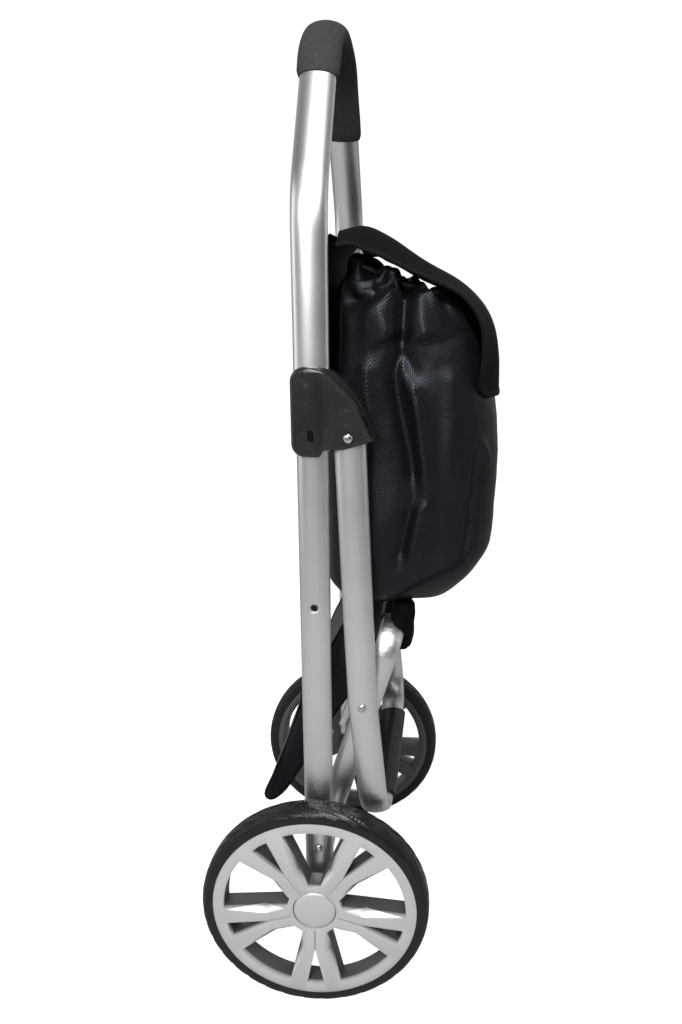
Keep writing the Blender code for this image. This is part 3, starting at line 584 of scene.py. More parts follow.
def tread_depth(turn, across):
    """How deep the tread is cut at an angle and at a place across the tyre from -1 to 1."""
    hand = 1.0 if across >= 0 else -1.0
    reach = abs(across)
    step = 2 * math.pi / TREAD_GROOVES
    lean = TREAD_LEAN * reach ** TREAD_CURVE
    place = ((turn - hand * 0.25 * step + lean) / step) % 1.0
    distance = min(place, 1.0 - place) * step * TYRE_RADIUS
    slope = TREAD_LEAN * TREAD_CURVE * max(reach, 0.05) ** (TREAD_CURVE - 1) * TYRE_RADIUS / 0.0160
    distance /= math.sqrt(1.0 + slope * slope)
    groove = max(0.0, 1.0 - (distance / GROOVE_HALF_WIDTH) ** 2)
    fade = min(1.0, max(0.0, (reach - 0.10) / 0.10)) * min(1.0, max(0.0, (1.04 - reach) / 0.10))
    return TREAD_DEPTH * groove * fade


def tyre_section():
    """The tyre's outer outline as (x, radius, place across) from its inner bead to its outer bead."""
    points = [*TYRE_SIDE, (0.0, TYRE_RADIUS), *[(-x, radius) for x, radius in reversed(TYRE_SIDE)]]
    return [(TYRE_X + x, radius, x / TYRE_HALF_WIDTH) for x, radius in smooth_curve(points, 3)]


def make_tyre(name, side):
    turns = [2 * math.pi * j / TYRE_STEPS for j in range(TYRE_STEPS)]
    centre = (LEG_Y, AXLE_Z)
    rings = []
    for x, radius, across in tyre_section():
        ring = []
        reach = min(1.0, max(0.0, (radius - 0.1345) / 0.002))
        for turn in turns:
            depth = tread_depth(turn * side, across * side) if abs(across) < 1.0 else 0.0
            ring.append(Vector((side * x, *polar(radius - depth * reach, 0.0, turn, centre))))
        rings.append(ring)
    for x in TYRE_BEAD_X:
        rings.append([Vector((side * x, *polar(TYRE_BORE_RADIUS, 0.0, turn, centre))) for turn in turns])
    item = new_piece(f"wheel_tyre_{name}", ring_mesh("tyre", rings, loop=True), RUBBER)
    finish_piece(item, f"wheel_{name}", [f"tyre_{name}"], 55.0)


# Screws
HEAD_HEIGHT = 0.0024
NUT_HEIGHT = 0.0035


def make_screw(name, side, body, node, centre, head_x, end_x, nut_radius=0.0):
    """A pan-head screw with a cross recess, and a nut where it is given a radius for one."""
    radius = 0.0051
    profile = [(head_x + HEAD_HEIGHT, 0.0), (head_x + 0.00235, 0.0018), (head_x + 0.0020, 0.0034),
               (head_x + 0.0012, 0.0046), (head_x + 0.0003, radius), (head_x, radius - 0.0002),
               (head_x, 0.0030), (end_x, 0.0030)]
    if nut_radius:
        profile += [(end_x, nut_radius), (end_x - NUT_HEIGHT, nut_radius), (end_x - NUT_HEIGHT, 0.0)]
    else:
        profile += [(end_x, 0.0)]
    item = new_piece(name, turned_mesh("screw", profile, side, centre, 32), STEEL)
    for turn in (0.4, 0.4 + math.pi / 2):
        arm = groove_outline(-0.0030, 0.0030, 0.0006, turn, centre)
        recess = bmesh.new()
        slab_into(recess, arm, side * (head_x + 0.0009), side * (head_x + 0.0040))
        cut(item, recess)
    finish_piece(item, body, [node], 35.0)


def make_screws():
    for name, side in SIDES:
        for label, body, node in (
            ("shoulder_pivot", "handle_frame", f"shoulder_screw_{name}"),
            ("link_pivot", "front_leg", f"link_screw_{name}"),
            ("base_pivot", "lower_frame", f"base_pivot_screw_{name}"),
        ):
            low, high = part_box(node)
            place = middle(node)
            outer = max(abs(low.x), abs(high.x))
            inner = min(abs(low.x), abs(high.x))
            nut = 0.0055 if label == "base_pivot" else 0.0
            end = inner + (NUT_HEIGHT if nut else 0.0)
            make_screw(f"{label}_screw_{name}", side, body, node, (place.y, place.z), outer - HEAD_HEIGHT,
                       end, nut)


# Cloth shells
TRIM_SIDES = 8


def grid_normals(points, wrap):
    """Unit normals of a (rows, columns, 3) grid."""
    if wrap:
        across = np.roll(points, -1, axis=1) - np.roll(points, 1, axis=1)
    else:
        across = np.gradient(points, axis=1)
    up = np.gradient(points, axis=0)
    normals = np.cross(across, up)
    return normals / np.maximum(np.linalg.norm(normals, axis=2, keepdims=True), 1e-9)


def grid_uv(points, wrap):
    """Distances along the middle row and the middle column of a grid."""
    row = points[len(points) // 2]
    if wrap:
        row = np.vstack([row, row[:1]])
    return run_along(row), run_along(points[:, points.shape[1] // 2])


def shell_mesh(name, outer, thickness, wrap=False, capped=False):
    """A closed cloth shell of even thickness under an outer surface."""
    inner = outer - grid_normals(outer, wrap) * thickness
    rows, columns = outer.shape[:2]
    u, v = grid_uv(outer, wrap)
    faces = []
    uvs = []

    def add(corners):
        faces.append([layer * rows * columns + i * columns + j % columns for layer, i, j in corners])
        for _, i, j in corners:
            uvs.append((u[min(j, len(u) - 1)], v[i]))

    last = columns if wrap else columns - 1
    for i in range(rows - 1):
        for j in range(last):
            add(((0, i, j), (0, i, j + 1), (0, i + 1, j + 1), (0, i + 1, j)))
            add(((1, i + 1, j), (1, i + 1, j + 1), (1, i, j + 1), (1, i, j)))
    for j in range(last):
        add(((0, rows - 1, j), (0, rows - 1, j + 1), (1, rows - 1, j + 1), (1, rows - 1, j)))
        if not capped:
            add(((1, 0, j), (1, 0, j + 1), (0, 0, j + 1), (0, 0, j)))
    if not wrap:
        for i in range(rows - 1):
            add(((0, i + 1, 0), (1, i + 1, 0), (1, i, 0), (0, i, 0)))
            add(((0, i, last), (1, i, last), (1, i + 1, last), (0, i + 1, last)))
    if capped:
        add([(0, 0, j) for j in reversed(range(columns))])
        add([(1, 0, j) for j in range(columns)])
    mesh = bpy.data.meshes.new(name)
    mesh.from_pydata(np.vstack([outer.reshape(-1, 3), inner.reshape(-1, 3)]).tolist(), [], faces)
    mesh.uv_layers.new(name="UVMap").data.foreach_set("uv", [c for uv in uvs for c in uv])
    bm = bmesh.new()
    bm.from_mesh(mesh)
    bmesh.ops.recalc_face_normals(bm, faces=bm.faces)
    bm.to_mesh(mesh)
    bm.free()
    return mesh


def band_mesh(name, path, outward, half_broad, half_thin):
    """A flat tape along a path. outward gives the direction of its thin side at each point."""
    rings = []
    for i, point in enumerate(path):
        along = heading(path, i)
        thin = Vector(outward[i])
        thin = (thin - along * thin.dot(along)).normalized()
        broad = along.cross(thin)
        ring = []
        for k in range(10):
            u, v = squared(2 * math.pi * k / 10, 0.6)
            ring.append(Vector(point) + broad * (u * half_broad) + thin * (v * half_thin))
        rings.append(ring)
    return boxed(ring_mesh(name, rings))


def boxed(mesh):
    """Gives a mesh UVs in metres, from the two axes that each face is most along."""
    layer = mesh.uv_layers.new(name="UVMap")
    for face in mesh.polygons:
        n = [abs(c) for c in face.normal]
        drop = n.index(max(n))
        a, b = [k for k in range(3) if k != drop]
        for k in face.loop_indices:
            co = mesh.vertices[mesh.loops[k].vertex_index].co
            layer.data[k].uv = (co[a], co[b])
    return mesh


def make_trim(name, body, path, radius, loop=False):
    """A cord of binding tape along a path."""
    path = [Vector(p) for p in path]
    rings = []
    side = heading(path, 0, loop).orthogonal().normalized()
    for i, point in enumerate(path):
        along = heading(path, i, loop)
        side = (side - along * side.dot(along)).normalized()
        other = along.cross(side)
        turns = [2 * math.pi * k / TRIM_SIDES for k in range(TRIM_SIDES)]
        rings.append([point + (side * math.cos(a) + other * math.sin(a)) * radius for a in turns])
    finish_piece(new_piece(name, boxed(ring_mesh(name, rings, loop)), BINDING), body)


def wrinkle(points, size, stretch=(1.0, 1.0, 1.0), seed=0.0, detail=3):
    """Fractal noise from about -1 to 1 at each point of an (n, 3) array."""
    values = np.empty(len(points))
    scaled = points / size * np.array(stretch) + seed
    for i, point in enumerate(scaled):
        values[i] = noise.fractal(Vector(point), 1.0, 2.0, detail)
    return values


def fold_field(y, z, path, rear_width, front_width, height):
    """Displacement of a fold that runs down along a path of (y, z) points, all in millimetres."""
    path = smooth_curve(path, 6)
    lengths = np.linalg.norm(np.diff(path, axis=0), axis=1)
    total = lengths.sum()
    best = np.full(y.shape, 1e9)
    signed = np.zeros(y.shape)
    place = np.zeros(y.shape)
    done = 0.0
    for (ay, az), (by, bz), length in zip(path[:-1], path[1:], lengths):
        dy, dz = (by - ay) / length, (bz - az) / length
        t = np.clip((y - ay) * dy + (z - az) * dz, 0.0, length)
        oy, oz = y - ay - t * dy, z - az - t * dz
        distance = np.hypot(oy, oz)
        nearer = distance < best
        best = np.where(nearer, distance, best)
        signed = np.where(nearer, dy * oz - dz * oy, signed)
        place = np.where(nearer, (done + t) / total, place)
        done += length
    width = np.where(signed > 0, rear_width, front_width)
    ends = smoothstep(0.0, 0.16, place) * smoothstep(0.0, 0.16, 1.0 - place)
    return height * np.exp(-(best / width) ** 1.7) * (0.25 + 0.75 * ends)


# Bag: (z at the rear, z at the front, y of the rear, y of the front, half width), from the bottom up
BAG_RINGS = (
    (0.5180, 0.5190, -0.054, -0.143, 0.095),
    (0.5150, 0.5230, -0.038, -0.156, 0.110),
    (0.5130, 0.5530, -0.029, -0.182, 0.129),
    (0.5230, 0.5820, -0.024, -0.199, 0.137),
    (0.5600, 0.6080, -0.022, -0.203, 0.138),
    (0.6200, 0.6400, -0.022, -0.204, 0.138),
    (0.6800, 0.6900, -0.022, -0.205, 0.138),
    (0.7400, 0.7350, -0.022, -0.201, 0.138),
    (0.8000, 0.7750, -0.022, -0.1945, 0.137),
    (0.8500, 0.8200, -0.023, -0.186, 0.133),
    (0.8830, 0.8480, -0.026, -0.170, 0.127),
    (0.9030, 0.8640, -0.030, -0.150, 0.116),
)
BAG_SQUARENESS = 0.45
BAG_COLUMNS = 330
BACK_BULGE = 0.0130
BACK_CROWN = 0.0150
CLOTH = 0.0016

# Folds of the bag's side: path of (y, z), widths on its rear and front side, height, in millimetres
SIDE_FOLDS = (
    (((-97, 895), (-95, 850), (-91, 808)), 9.0, 8.0, -13.0),
    (((-64, 878), (-70, 850), (-84, 818)), 22.0, 18.0, 15.0),
    (((-30, 868), (-48, 861), (-64, 868), (-84, 886)), 9.0, 8.0, -13.0),
    (((-56, 902), (-57, 893), (-60, 884)), 9.0, 9.0, -14.0),
    (((-108, 872), (-113, 842), (-119, 818)), 13.0, 28.0, 14.0),
    (((-112, 652), (-103, 700), (-93, 745), (-86, 785), (-92, 806), (-102, 797), (-111, 768)),
     9.0, 8.0, -9.0),
    (((-102, 792), (-109, 757), (-118, 704), (-122, 652)), 7.0, 11.0, 9.5),
    (((-122, 652), (-114, 622), (-106, 572)), 7.0, 11.0, 7.5),
    (((-108, 645), (-100, 612), (-93, 575)), 8.0, 7.0, -6.0),
    (((-56, 805), (-57, 757), (-66, 700)), 10.0, 9.0, 5.0),
    (((-44, 700), (-50, 640), (-62, 575)), 12.0, 10.0, 4.0),
    (((-142, 800), (-150, 740), (-146, 660)), 16.0, 14.0, 3.5),
    (((-179, 716), (-173, 636), (-167, 582)), 3.5, 7.0, -5.0),
    (((-176, 722), (-188, 700), (-203, 682)), 5.0, 6.0, 5.0),
)
BOTTOM_EDGE = ((-0.1680, 0.5800), (-0.1480, 0.5660), (-0.1180, 0.5500), (-0.0900, 0.5300), (-0.0660, 0.5120))
REAR_EDGE = (
    (-0.031, 0.898), (-0.0285, 0.870), (-0.0265, 0.820), (-0.0260, 0.760), (-0.0262, 0.690), (-0.0270, 0.620),
    (-0.0285, 0.560), (-0.0330, 0.530),
)
THROAT = ((0.985, 0.0022), (0.95, 0.0036), (0.90, 0.0040), (0.84, 0.0030), (0.77, 0.0008), (0.70, -0.0022),
          (0.64, -0.0060))
GATHERS = 19
GATHERED_ROWS = 40


def bag_ring(level):
    """One level of the bag, a rounded rectangle with evenly spaced points."""
    z_rear, z_front, y_rear, y_front, half_x = level
    across, along = squared(np.linspace(0.0, 2 * math.pi, 1601) + 0.5 * math.pi, BAG_SQUARENESS)
    y = (y_rear + y_front) / 2 + along * (y_rear - y_front) / 2
    z = z_rear + (z_front - z_rear) * (1 - along) / 2
    dense = np.stack([across * half_x, y + LEG_Y, z], axis=1)
    run = run_along(dense)
    at = np.arange(BAG_COLUMNS) / BAG_COLUMNS * run[-1]
    return np.stack([np.interp(at, run, dense[:, k]) for k in range(3)], axis=1)


def shrunk_level(level, scale, lift):
    """A level of the bag drawn in around its middle and lifted."""
    z_rear, z_front, y_rear, y_front, half_x = level
    centre_y = (y_rear + y_front) / 2
    return (z_rear + lift, z_front + lift, centre_y + (y_rear - centre_y) * scale,
            centre_y + (y_front - centre_y) * scale, half_x * scale)


def bag_surface():
    """The bag's outer surface from the middle of its bottom, up its walls and in at its throat."""
    levels = [tuple(level) for level in smooth_curve(BAG_RINGS, 14)]
    bottom = [shrunk_level(levels[0], 0.03 + 0.97 * k / 9, 0.0015) for k in range(9)]
    throat = [shrunk_level(levels[-1], scale, lift) for scale, lift in THROAT]
    return shape_bag(np.array([bag_ring(level) for level in bottom + levels + throat]))


def shape_bag(points):
    """Adds the folds, wrinkles and gathers of the bag's walls, and the bulge of its back."""
    normals = grid_normals(points, True)
    rows, columns = points.shape[:2]
    y = (points[:, :, 1] - LEG_Y) * 1000
    z = points[:, :, 2] * 1000
    side = np.abs(normals[:, :, 0])
    moved = np.zeros((rows, columns))
    for sign, shift, scale in ((-1, 0.0, 1.0), (1, 9.0, 0.85)):
        here = (np.sign(points[:, :, 0]) == sign) * smoothstep(0.35, 0.80, side)
        for path, rear, front, height in SIDE_FOLDS:
            path = [(py, pz - shift * smoothstep(0, 1, (pz - 560) / 300)) for py, pz in path]
            moved += here * fold_field(y, z, path, rear, front, height * scale)
    flat = points.reshape(-1, 3)
    long_folds = wrinkle(flat, 0.055, (1.0, 1.0, 0.38), 3.0).reshape(rows, columns)
    small = wrinkle(flat, 0.024, (1.0, 1.0, 0.7), 8.0).reshape(rows, columns)
    walls = smoothstep(520, 560, z) * smoothstep(905, 850, z)
    moved += walls * (1.7 * long_folds + 0.5 * small)
    around = 2 * math.pi * np.arange(columns) / columns
    gather = np.sin(GATHERS * around + 1.3 * np.sin(3 * around)) + 0.4 * np.sin(2.2 * GATHERS * around + 0.6)
    above = np.arange(rows) - (rows - 8 - GATHERED_ROWS)
    reach = smoothstep(0.0, 1.0, above / GATHERED_ROWS)[:, None]
    rear = smoothstep(-20, -34, y)
    moved += 3.4 * reach ** 2 * gather[None, :] * rear
    sagging = 2.5 * reach ** 3 * np.sin(GATHERS * around * 0.5 + 0.7)[None, :]
    points = points + normals * (moved / 1000)[:, :, None]
    back = smoothstep(-50, -30, y) * smoothstep(508, 540, z) * smoothstep(893, 868, z)
    bulge = BACK_BULGE - 0.003 * smoothstep(770, 810, z)
    crown = BACK_CROWN * np.clip(1.0 - (points[:, :, 0] / 0.128) ** 2, 0.0, 1.0) * smoothstep(774, 715, z)
    points[:, :, 1] += back * (bulge + crown)
    points[:, :, 2] += sagging / 1000 * rear
    return points


def bag_spot(points, normals, side, y, z):
    """The bag's outer surface point and normal on one side, nearest to a place given as (y, z)."""
    mask = (points[:, :, 0] * side > 0.06) & (np.abs(normals[:, :, 0]) > 0.12)
    distance = np.hypot(points[:, :, 1] - LEG_Y - y, points[:, :, 2] - z)
    distance = np.where(mask, distance, 1e9)
    i, j = np.unravel_index(np.argmin(distance), distance.shape)
    return points[i, j], normals[i, j]


def make_piping(name, points, normals, side, line):
    """A cord sewn on the bag's side along a line of (y, z) places."""
    spots = [bag_spot(points, normals, side, y, z) for y, z in smooth_curve(line, 12)]
    path = np.array([spot + normal * 0.0006 for spot, normal in spots])
    for _ in range(4):
        path[1:-1] = (path[:-2] + 2 * path[1:-1] + path[2:]) / 4
    make_trim(name, "handle_frame", path, 0.0016)


def make_bag():
    points = bag_surface()
    mesh = shell_mesh("bag_shell", points, CLOTH, wrap=True, capped=True)
    bag = new_piece("bag_shell", mesh, FABRIC)
    finish_piece(bag, "handle_frame", ["bag_body"], smooth=80.0)
    normals = grid_normals(points, True)
    for name, side in SIDES:
        make_piping(f"bag_bottom_piping_{name}", points, normals, side, BOTTOM_EDGE)
        make_piping(f"bag_rear_piping_{name}", points, normals, side, REAR_EDGE)


# Flap
FLAP_LINE = (
    (-0.0200, 0.9335),
    (-0.0460, 0.9378),
    (-0.0750, 0.9268),
    (-0.1100, 0.9065),
    (-0.1510, 0.8855),
    (-0.1780, 0.8625),
    (-0.1930, 0.8370),
    (-0.1990, 0.8050),
    (-0.2000, 0.7640),
)
FLAP_HALF_WIDTH = 0.1360
FLAP_THICKNESS = 0.0022


def flap_surface():
    """The flap's top surface from its hinge, over the bag's mouth and down its front."""
    line = smooth_curve(FLAP_LINE, 11)
    run = np.gradient(line, axis=0)
    run /= np.linalg.norm(run, axis=1, keepdims=True)
    inward = np.stack([-run[:, 1], run[:, 0]], axis=1)
    if inward[len(line) // 3, 1] > 0:
        inward = -inward
    rows, columns = len(line), 75
    across = np.linspace(-1.0, 1.0, columns)
    part = np.linspace(0.0, 1.0, rows)
    droop = np.interp(part, [0.0, 0.2, 0.4, 0.55, 0.75, 1.0], [0.018, 0.021, 0.016, 0.012, 0.014, 0.020])
    edge = smoothstep(0.52, 1.12, np.abs(across)) * 1.116
    points = np.zeros((rows, columns, 3))
    for i in range(rows):
        for j in range(columns):
            depth = droop[i] * edge[j]
            bulge = 0.0016 * math.sin(5.0 * across[j] + 7.0 * part[i]) * smoothstep(0.0, 0.2, part[i])
            corner = smoothstep(0.90, 1.0, part[i]) * smoothstep(0.86, 1.0, abs(across[j]))
            y = line[i][0] + inward[i][0] * (depth + bulge)
            z = line[i][1] + inward[i][1] * (depth + bulge) + 0.010 * corner
            x = across[j] * (FLAP_HALF_WIDTH - 0.003 * edge[j] - 0.004 * corner)
            points[i, j] = (x, LEG_Y + y, z)
    return points


def make_flap():
    points = flap_surface()
    normals = grid_normals(points, False)
    if normals[len(points) // 3, points.shape[1] // 2, 2] < 0:
        points = points[:, ::-1]
        normals = grid_normals(points, False)
    flap = new_piece("bag_lid", shell_mesh("bag_lid", points, FLAP_THICKNESS), LID_FABRIC)
    finish_piece(flap, "bag_flap", ["bag_flap"], smooth=80.0)
    last_row, last_column = len(points) - 1, points.shape[1] - 1
    around = [(i, 0) for i in range(last_row + 1)]
    around += [(last_row, j) for j in range(1, last_column + 1)]
    around += [(i, last_column) for i in range(last_row - 1, -1, -1)]
    out = [normals[i, j] for i, j in around]
    edge = [points[i, j] - normals[i, j] * FLAP_THICKNESS / 2 for i, j in around]
    mesh = band_mesh("bag_lid_binding", edge, out, 0.0042, 0.0020)
    binding = new_piece("bag_lid_binding", mesh, BINDING)
    finish_piece(binding, "bag_flap", smooth=60.0)


# Hanger
BACK_TOP_LINE = (
    (-0.0066, 0.7780), (-0.0066, 0.8600), (-0.0068, 0.9000), (-0.0062, 0.9140), (-0.0030, 0.9204),
    (0.0015, 0.9212), (0.0056, 0.9180), (0.0062, 0.9130), (0.0035, 0.9093), (-0.0010, 0.9086),
    (-0.0046, 0.9076),
)
TOP_STRIP_LINE = ((-0.0086, 0.9120), (-0.0105, 0.9190), (-0.0150, 0.9245), (-0.0166, 0.9263))


def cloth_strip(name, line, nodes=()):
    """A strip of cloth as wide as the hanger, along a line of (y, z) points."""
    line = smooth_curve(line, 6)
    across = np.linspace(-1.0, 1.0, 61)
    points = np.zeros((len(line), len(across), 3))
    for i, (y, z) in enumerate(line):
        half = 0.120 + 0.015 * smoothstep(0.905, 0.890, z)
        for j, x in enumerate(across * half):
            wave = 0.0004 * math.sin(130 * x + 9 * z) * smoothstep(0.900, 0.880, z)
            points[i, j] = (x, LEG_Y + y + wave, z)
    strip = new_piece(name, shell_mesh(name, points, 0.0013), LID_FABRIC)
    finish_piece(strip, "handle_frame", nodes, smooth=70.0)


def make_hanger():
    """The back panel's top, which wraps the cross rod, and the strip that carries the flap."""
    cloth_strip("bag_back_top", BACK_TOP_LINE, ["bag_hanger"])
    cloth_strip("bag_top_strip", TOP_STRIP_LINE)


# Handle: half sizes across (the legs' front-to-rear depth, the tube's width)
HANDLE_HALF = (0.0190, 0.0088)
HANDLE_BORE_HALF = (0.0178, 0.0078)
HANDLE_BOTTOM_Z = 0.704
HANDLE_BEND = (0.152, 0.960, 0.13)
HANDLE_TOP = (0.054, 1.1404, 0.086)
GRIP_END_Z = {1: 1.052, -1: 1.080}
GRIP_THICKNESS = 0.0035
FIT = 0.0002
OVAL_SIDES = 48


def rounded_corners(corners, spacing=0.004):
    """A path through (x, z) corners given with radii, with points about evenly spaced."""
    path = []
    for i, (x, z, radius) in enumerate(corners):
        corner = Vector((x, z))
        if radius == 0:
            path.append(corner)
            continue
        before = (Vector(corners[i - 1][:2]) - corner).normalized()
        after = (Vector(corners[i + 1][:2]) - corner).normalized()
        half = before.angle(after) / 2
        run = radius / math.tan(half)
        centre = corner + (before + after).normalized() * radius / math.sin(half)
        first = corner + before * run - centre
        last = corner + after * run - centre
        turn = math.pi - 2 * half
        steps = max(4, math.ceil(turn * radius / spacing))
        for k in range(steps + 1):
            t = k / steps
            spread = (first * math.sin((1 - t) * turn) + last * math.sin(t * turn)) / math.sin(turn)
            path.append(centre + spread)
    return path


def handle_path():
    """The handle's middle line as (x, z) points, close enough together for its bends."""
    half = [(LEG_X, HANDLE_BOTTOM_Z, 0.0), HANDLE_BEND, HANDLE_TOP]
    other = [(-x, z, radius) for x, z, radius in reversed(half)]
    path = rounded_corners(half + other)
    dense = [path[0]]
    for point in path[1:]:
        start = dense[-1]
        steps = max(1, math.ceil((point - start).length / 0.006))
        dense += [start.lerp(point, k / steps) for k in range(1, steps + 1)]
    return dense


def oval_rings(path, halves):
    """Rings of an oval section along a path of (x, z) points in the leg plane."""
    rings = []
    for i, (point, (broad, narrow)) in enumerate(zip(path, halves)):
        along = heading(path, i)
        thin = Vector((-along.y, along.x))
        ring = []
        for k in range(OVAL_SIDES):
            a = 2 * math.pi * k / OVAL_SIDES
            spot = point + thin * narrow * math.sin(a)
            ring.append(Vector((spot.x, LEG_Y + broad * math.cos(a), spot.y)))
        rings.append(ring)
    return rings


def oval_tube(name, path, outer, bore, finish):
    """A hollow tube of an oval section that has its outer half sizes given at each point."""
    rings = oval_rings(path, outer) + oval_rings(path, [bore] * len(path))[::-1]
    return new_piece(name, ring_mesh(name, rings, loop=True), finish)


def make_handle():
    path = handle_path()
    tube = oval_tube("handle_bow", path, [HANDLE_HALF] * len(path), HANDLE_BORE_HALF, ALUMINIUM)
    finish_piece(tube, "handle_frame", ["handle_tube"])

    covered = [p for p in path if p.y > GRIP_END_Z[1 if p.x > 0 else -1]]
    run = [0.0]
    for a, b in zip(covered, covered[1:]):
        run.append(run[-1] + (b - a).length)
    outer = []
    for along in run:
        near_end = min(along, run[-1] - along)
        rolled = math.sqrt(max(0.0, 1 - (1 - min(near_end, 0.004) / 0.004) ** 2))
        skin = GRIP_THICKNESS * (0.45 + 0.55 * rolled) + 0.0003 * math.sin(along * 90)
        outer.append([half + skin for half in HANDLE_HALF])
    grip = oval_tube("handle_foam", covered, outer, [half + FIT for half in HANDLE_HALF], FOAM)
    finish_piece(grip, "handle_frame", ["handle_grip"], 60.0)


# Shoulders
SHOULDER_CORNERS = (
    (0.0215, 0.7930, 0.016),
    (-0.0170, 0.7945, 0.022),
    (-0.0500, 0.7630, 0.080),
    (-0.0700, 0.7180, 0.0045),
    (-0.0330, 0.7065, 0.030),
    (-0.0125, 0.7055, 0.003),
    (-0.0090, 0.6985, 0.003),
    (0.0215, 0.6985, 0.014),
)
SHOULDER_ROOM = (
    (-0.0196, 0.7840), (-0.0250, 0.7800), (-0.0380, 0.7710), (-0.0480, 0.7590), (-0.0590, 0.7380),
    (-0.0672, 0.7180), (-0.0672, 0.6900), (-0.0196, 0.6900),
)
SHOULDER_ROOM_X = (0.1429, 0.1611)
SHOULDER_CENTRE = (-0.0160, 0.7430)
SHOULDER_PIVOT = (-0.0400, 0.7210)
LATCH_Z = 0.722
LATCH_SLOT_HALF = (0.0033, 0.0058)
LATCH_SLOT_X = (0.158, 0.175)
PIVOT_HOLE = ((0.130, 0.0033), (0.175, 0.0033))
SHOULDER_EDGE_RADIUS = 0.0045
SHOULDER_RINGS = (0.0, 0.012, 0.03, 0.055, 0.085, 0.12, 0.16, 0.20, 0.25, 0.30, 0.36, 0.42, 0.49, 0.56, 0.64,
                  0.72, 0.80, 0.88, 0.95)


def closed_outline(corners, spacing):
    """Rounds a closed outline's corners and spaces its points evenly."""
    looped = [corners[-1], *corners, corners[0]]
    points = []
    for before, corner, after in zip(looped, looped[1:], looped[2:]):
        points += rounded_corners([(*before[:2], 0.0), corner, (*after[:2], 0.0)], 0.0015)[1:-1]
    points.append(points[0])
    ring = np.array([tuple(p) for p in points])
    run = run_along(ring)
    at = np.arange(0.0, run[-1], run[-1] / round(run[-1] / spacing))
    return np.stack([np.interp(at, run, ring[:, k]) for k in range(2)], axis=1)


def outline_distance(points, outline):
    """Distance of each (n, 2) point from a polyline."""
    best = np.full(len(points), 1e9)
    for a, b in zip(outline[:-1], outline[1:]):
        d = b - a
        t = np.clip(((points - a) @ d) / max(d @ d, 1e-12), 0.0, 1.0)
        best = np.minimum(best, np.linalg.norm(points - a - t[:, None] * d, axis=1))
    return best


def shoulder_height(points, outline):
    """How far the shoulder's face stands out from the seam at each (y, z) point."""
    y, z = points[:, 0], points[:, 1]
    rim = outline_distance(points, np.vstack([outline, outline[:1]]))
    top = np.array([p for p in outline if p[1] > 0.7215 and p[0] < 0.004 or p[1] > 0.785])
    top = top[np.argsort(-top[:, 0])]
    crest = outline_distance(points, top)
    height = 0.0120 + 0.0023 * np.exp(-((y - 0.001) / 0.0125) ** 2)
    front = smoothstep(0.002, -0.020, y)
    height -= front * 0.0060 * (1 - smoothstep(0.0004, 0.0052, crest))
    height += front * 0.0013 * np.exp(-((crest - 0.0058) / 0.0020) ** 2)
    height -= 0.0013 * np.exp(-((y + 0.0140) / 0.0050) ** 2) * smoothstep(0.790, 0.765, z)
    inset = SHOULDER_EDGE_RADIUS - np.clip(rim, 0.0, SHOULDER_EDGE_RADIUS)
    height -= SHOULDER_EDGE_RADIUS - np.sqrt(np.maximum(0.0, SHOULDER_EDGE_RADIUS ** 2 - inset ** 2))
    bumps = wrinkle(np.stack([y, z, 0 * y], axis=1), 0.013, seed=2.0, detail=2)
    return height + 0.00040 * bumps * smoothstep(0.0, 0.006, rim)


def make_shoulder(name, side):
    """The outer half of the moulded joint, with its raised crest and the hollows of a moulding."""
    outline = closed_outline(SHOULDER_CORNERS, 0.0016)
    centre = np.array(SHOULDER_CENTRE)
    seam_x = LEG_X + 0.0001
    rings = [[Vector((side * seam_x, LEG_Y + y, z)) for y, z in outline]]
    for t in SHOULDER_RINGS:
        points = centre + (outline - centre) * (1 - t)
        heights = shoulder_height(points, outline)
        rings.append([Vector((side * (LEG_X + h), LEG_Y + y, z)) for h, (y, z) in zip(heights, points)])
    item = new_piece(f"shoulder_cover_{name}", ring_mesh("shoulder_cover", rings), BLACK)
    room, sleeve, holes = bmesh.new(), bmesh.new(), bmesh.new()
    slab_into(room, [(LEG_Y + y, z) for y, z in SHOULDER_ROOM], *[side * x for x in SHOULDER_ROOM_X])
    leg = [Vector((side * LEG_X, z)) for z in (0.690, 0.810)]
    add_rings(sleeve, oval_rings(leg, [[half + FIT for half in HANDLE_HALF]] * 2))
    half_y, half_z = LATCH_SLOT_HALF
    slot = [(LEG_Y + y * half_y, LATCH_Z + z * half_z) for y, z in ((1, 1), (-1, 1), (-1, -1), (1, -1))]
    slab_into(holes, slot, *[side * x for x in LATCH_SLOT_X])
    pivot = (LEG_Y + SHOULDER_PIVOT[0], SHOULDER_PIVOT[1])
    add_rings(holes, turned_rings(PIVOT_HOLE, side, pivot, 24))
    for tool in (room, sleeve, holes):
        cut(item, tool)
    finish_piece(item, "handle_frame", [f"shoulder_outer_{name}"], 42.0)


# Folded bag bottom
BASE_LEAN = math.radians(31.2)
BASE_POINT = (-0.0863, 0.4836)
BASE_OUTLINE = (
    (0.026, 0.001), (0.080, -0.0010), (0.150, 0.0000), (0.220, -0.0025), (0.262, -0.0030),
    (0.2810, 0.0005), (0.2890, 0.0055), (0.2895, 0.0115), (0.2840, 0.0160), (0.2700, 0.0185),
    (0.2500, 0.0210), (0.1970, 0.0305), (0.1600, 0.0390), (0.1260, 0.0462), (0.0860, 0.0485),
    (0.0480, 0.0505), (0.0250, 0.0500), (0.0215, 0.0300), (0.0230, 0.0140),
)


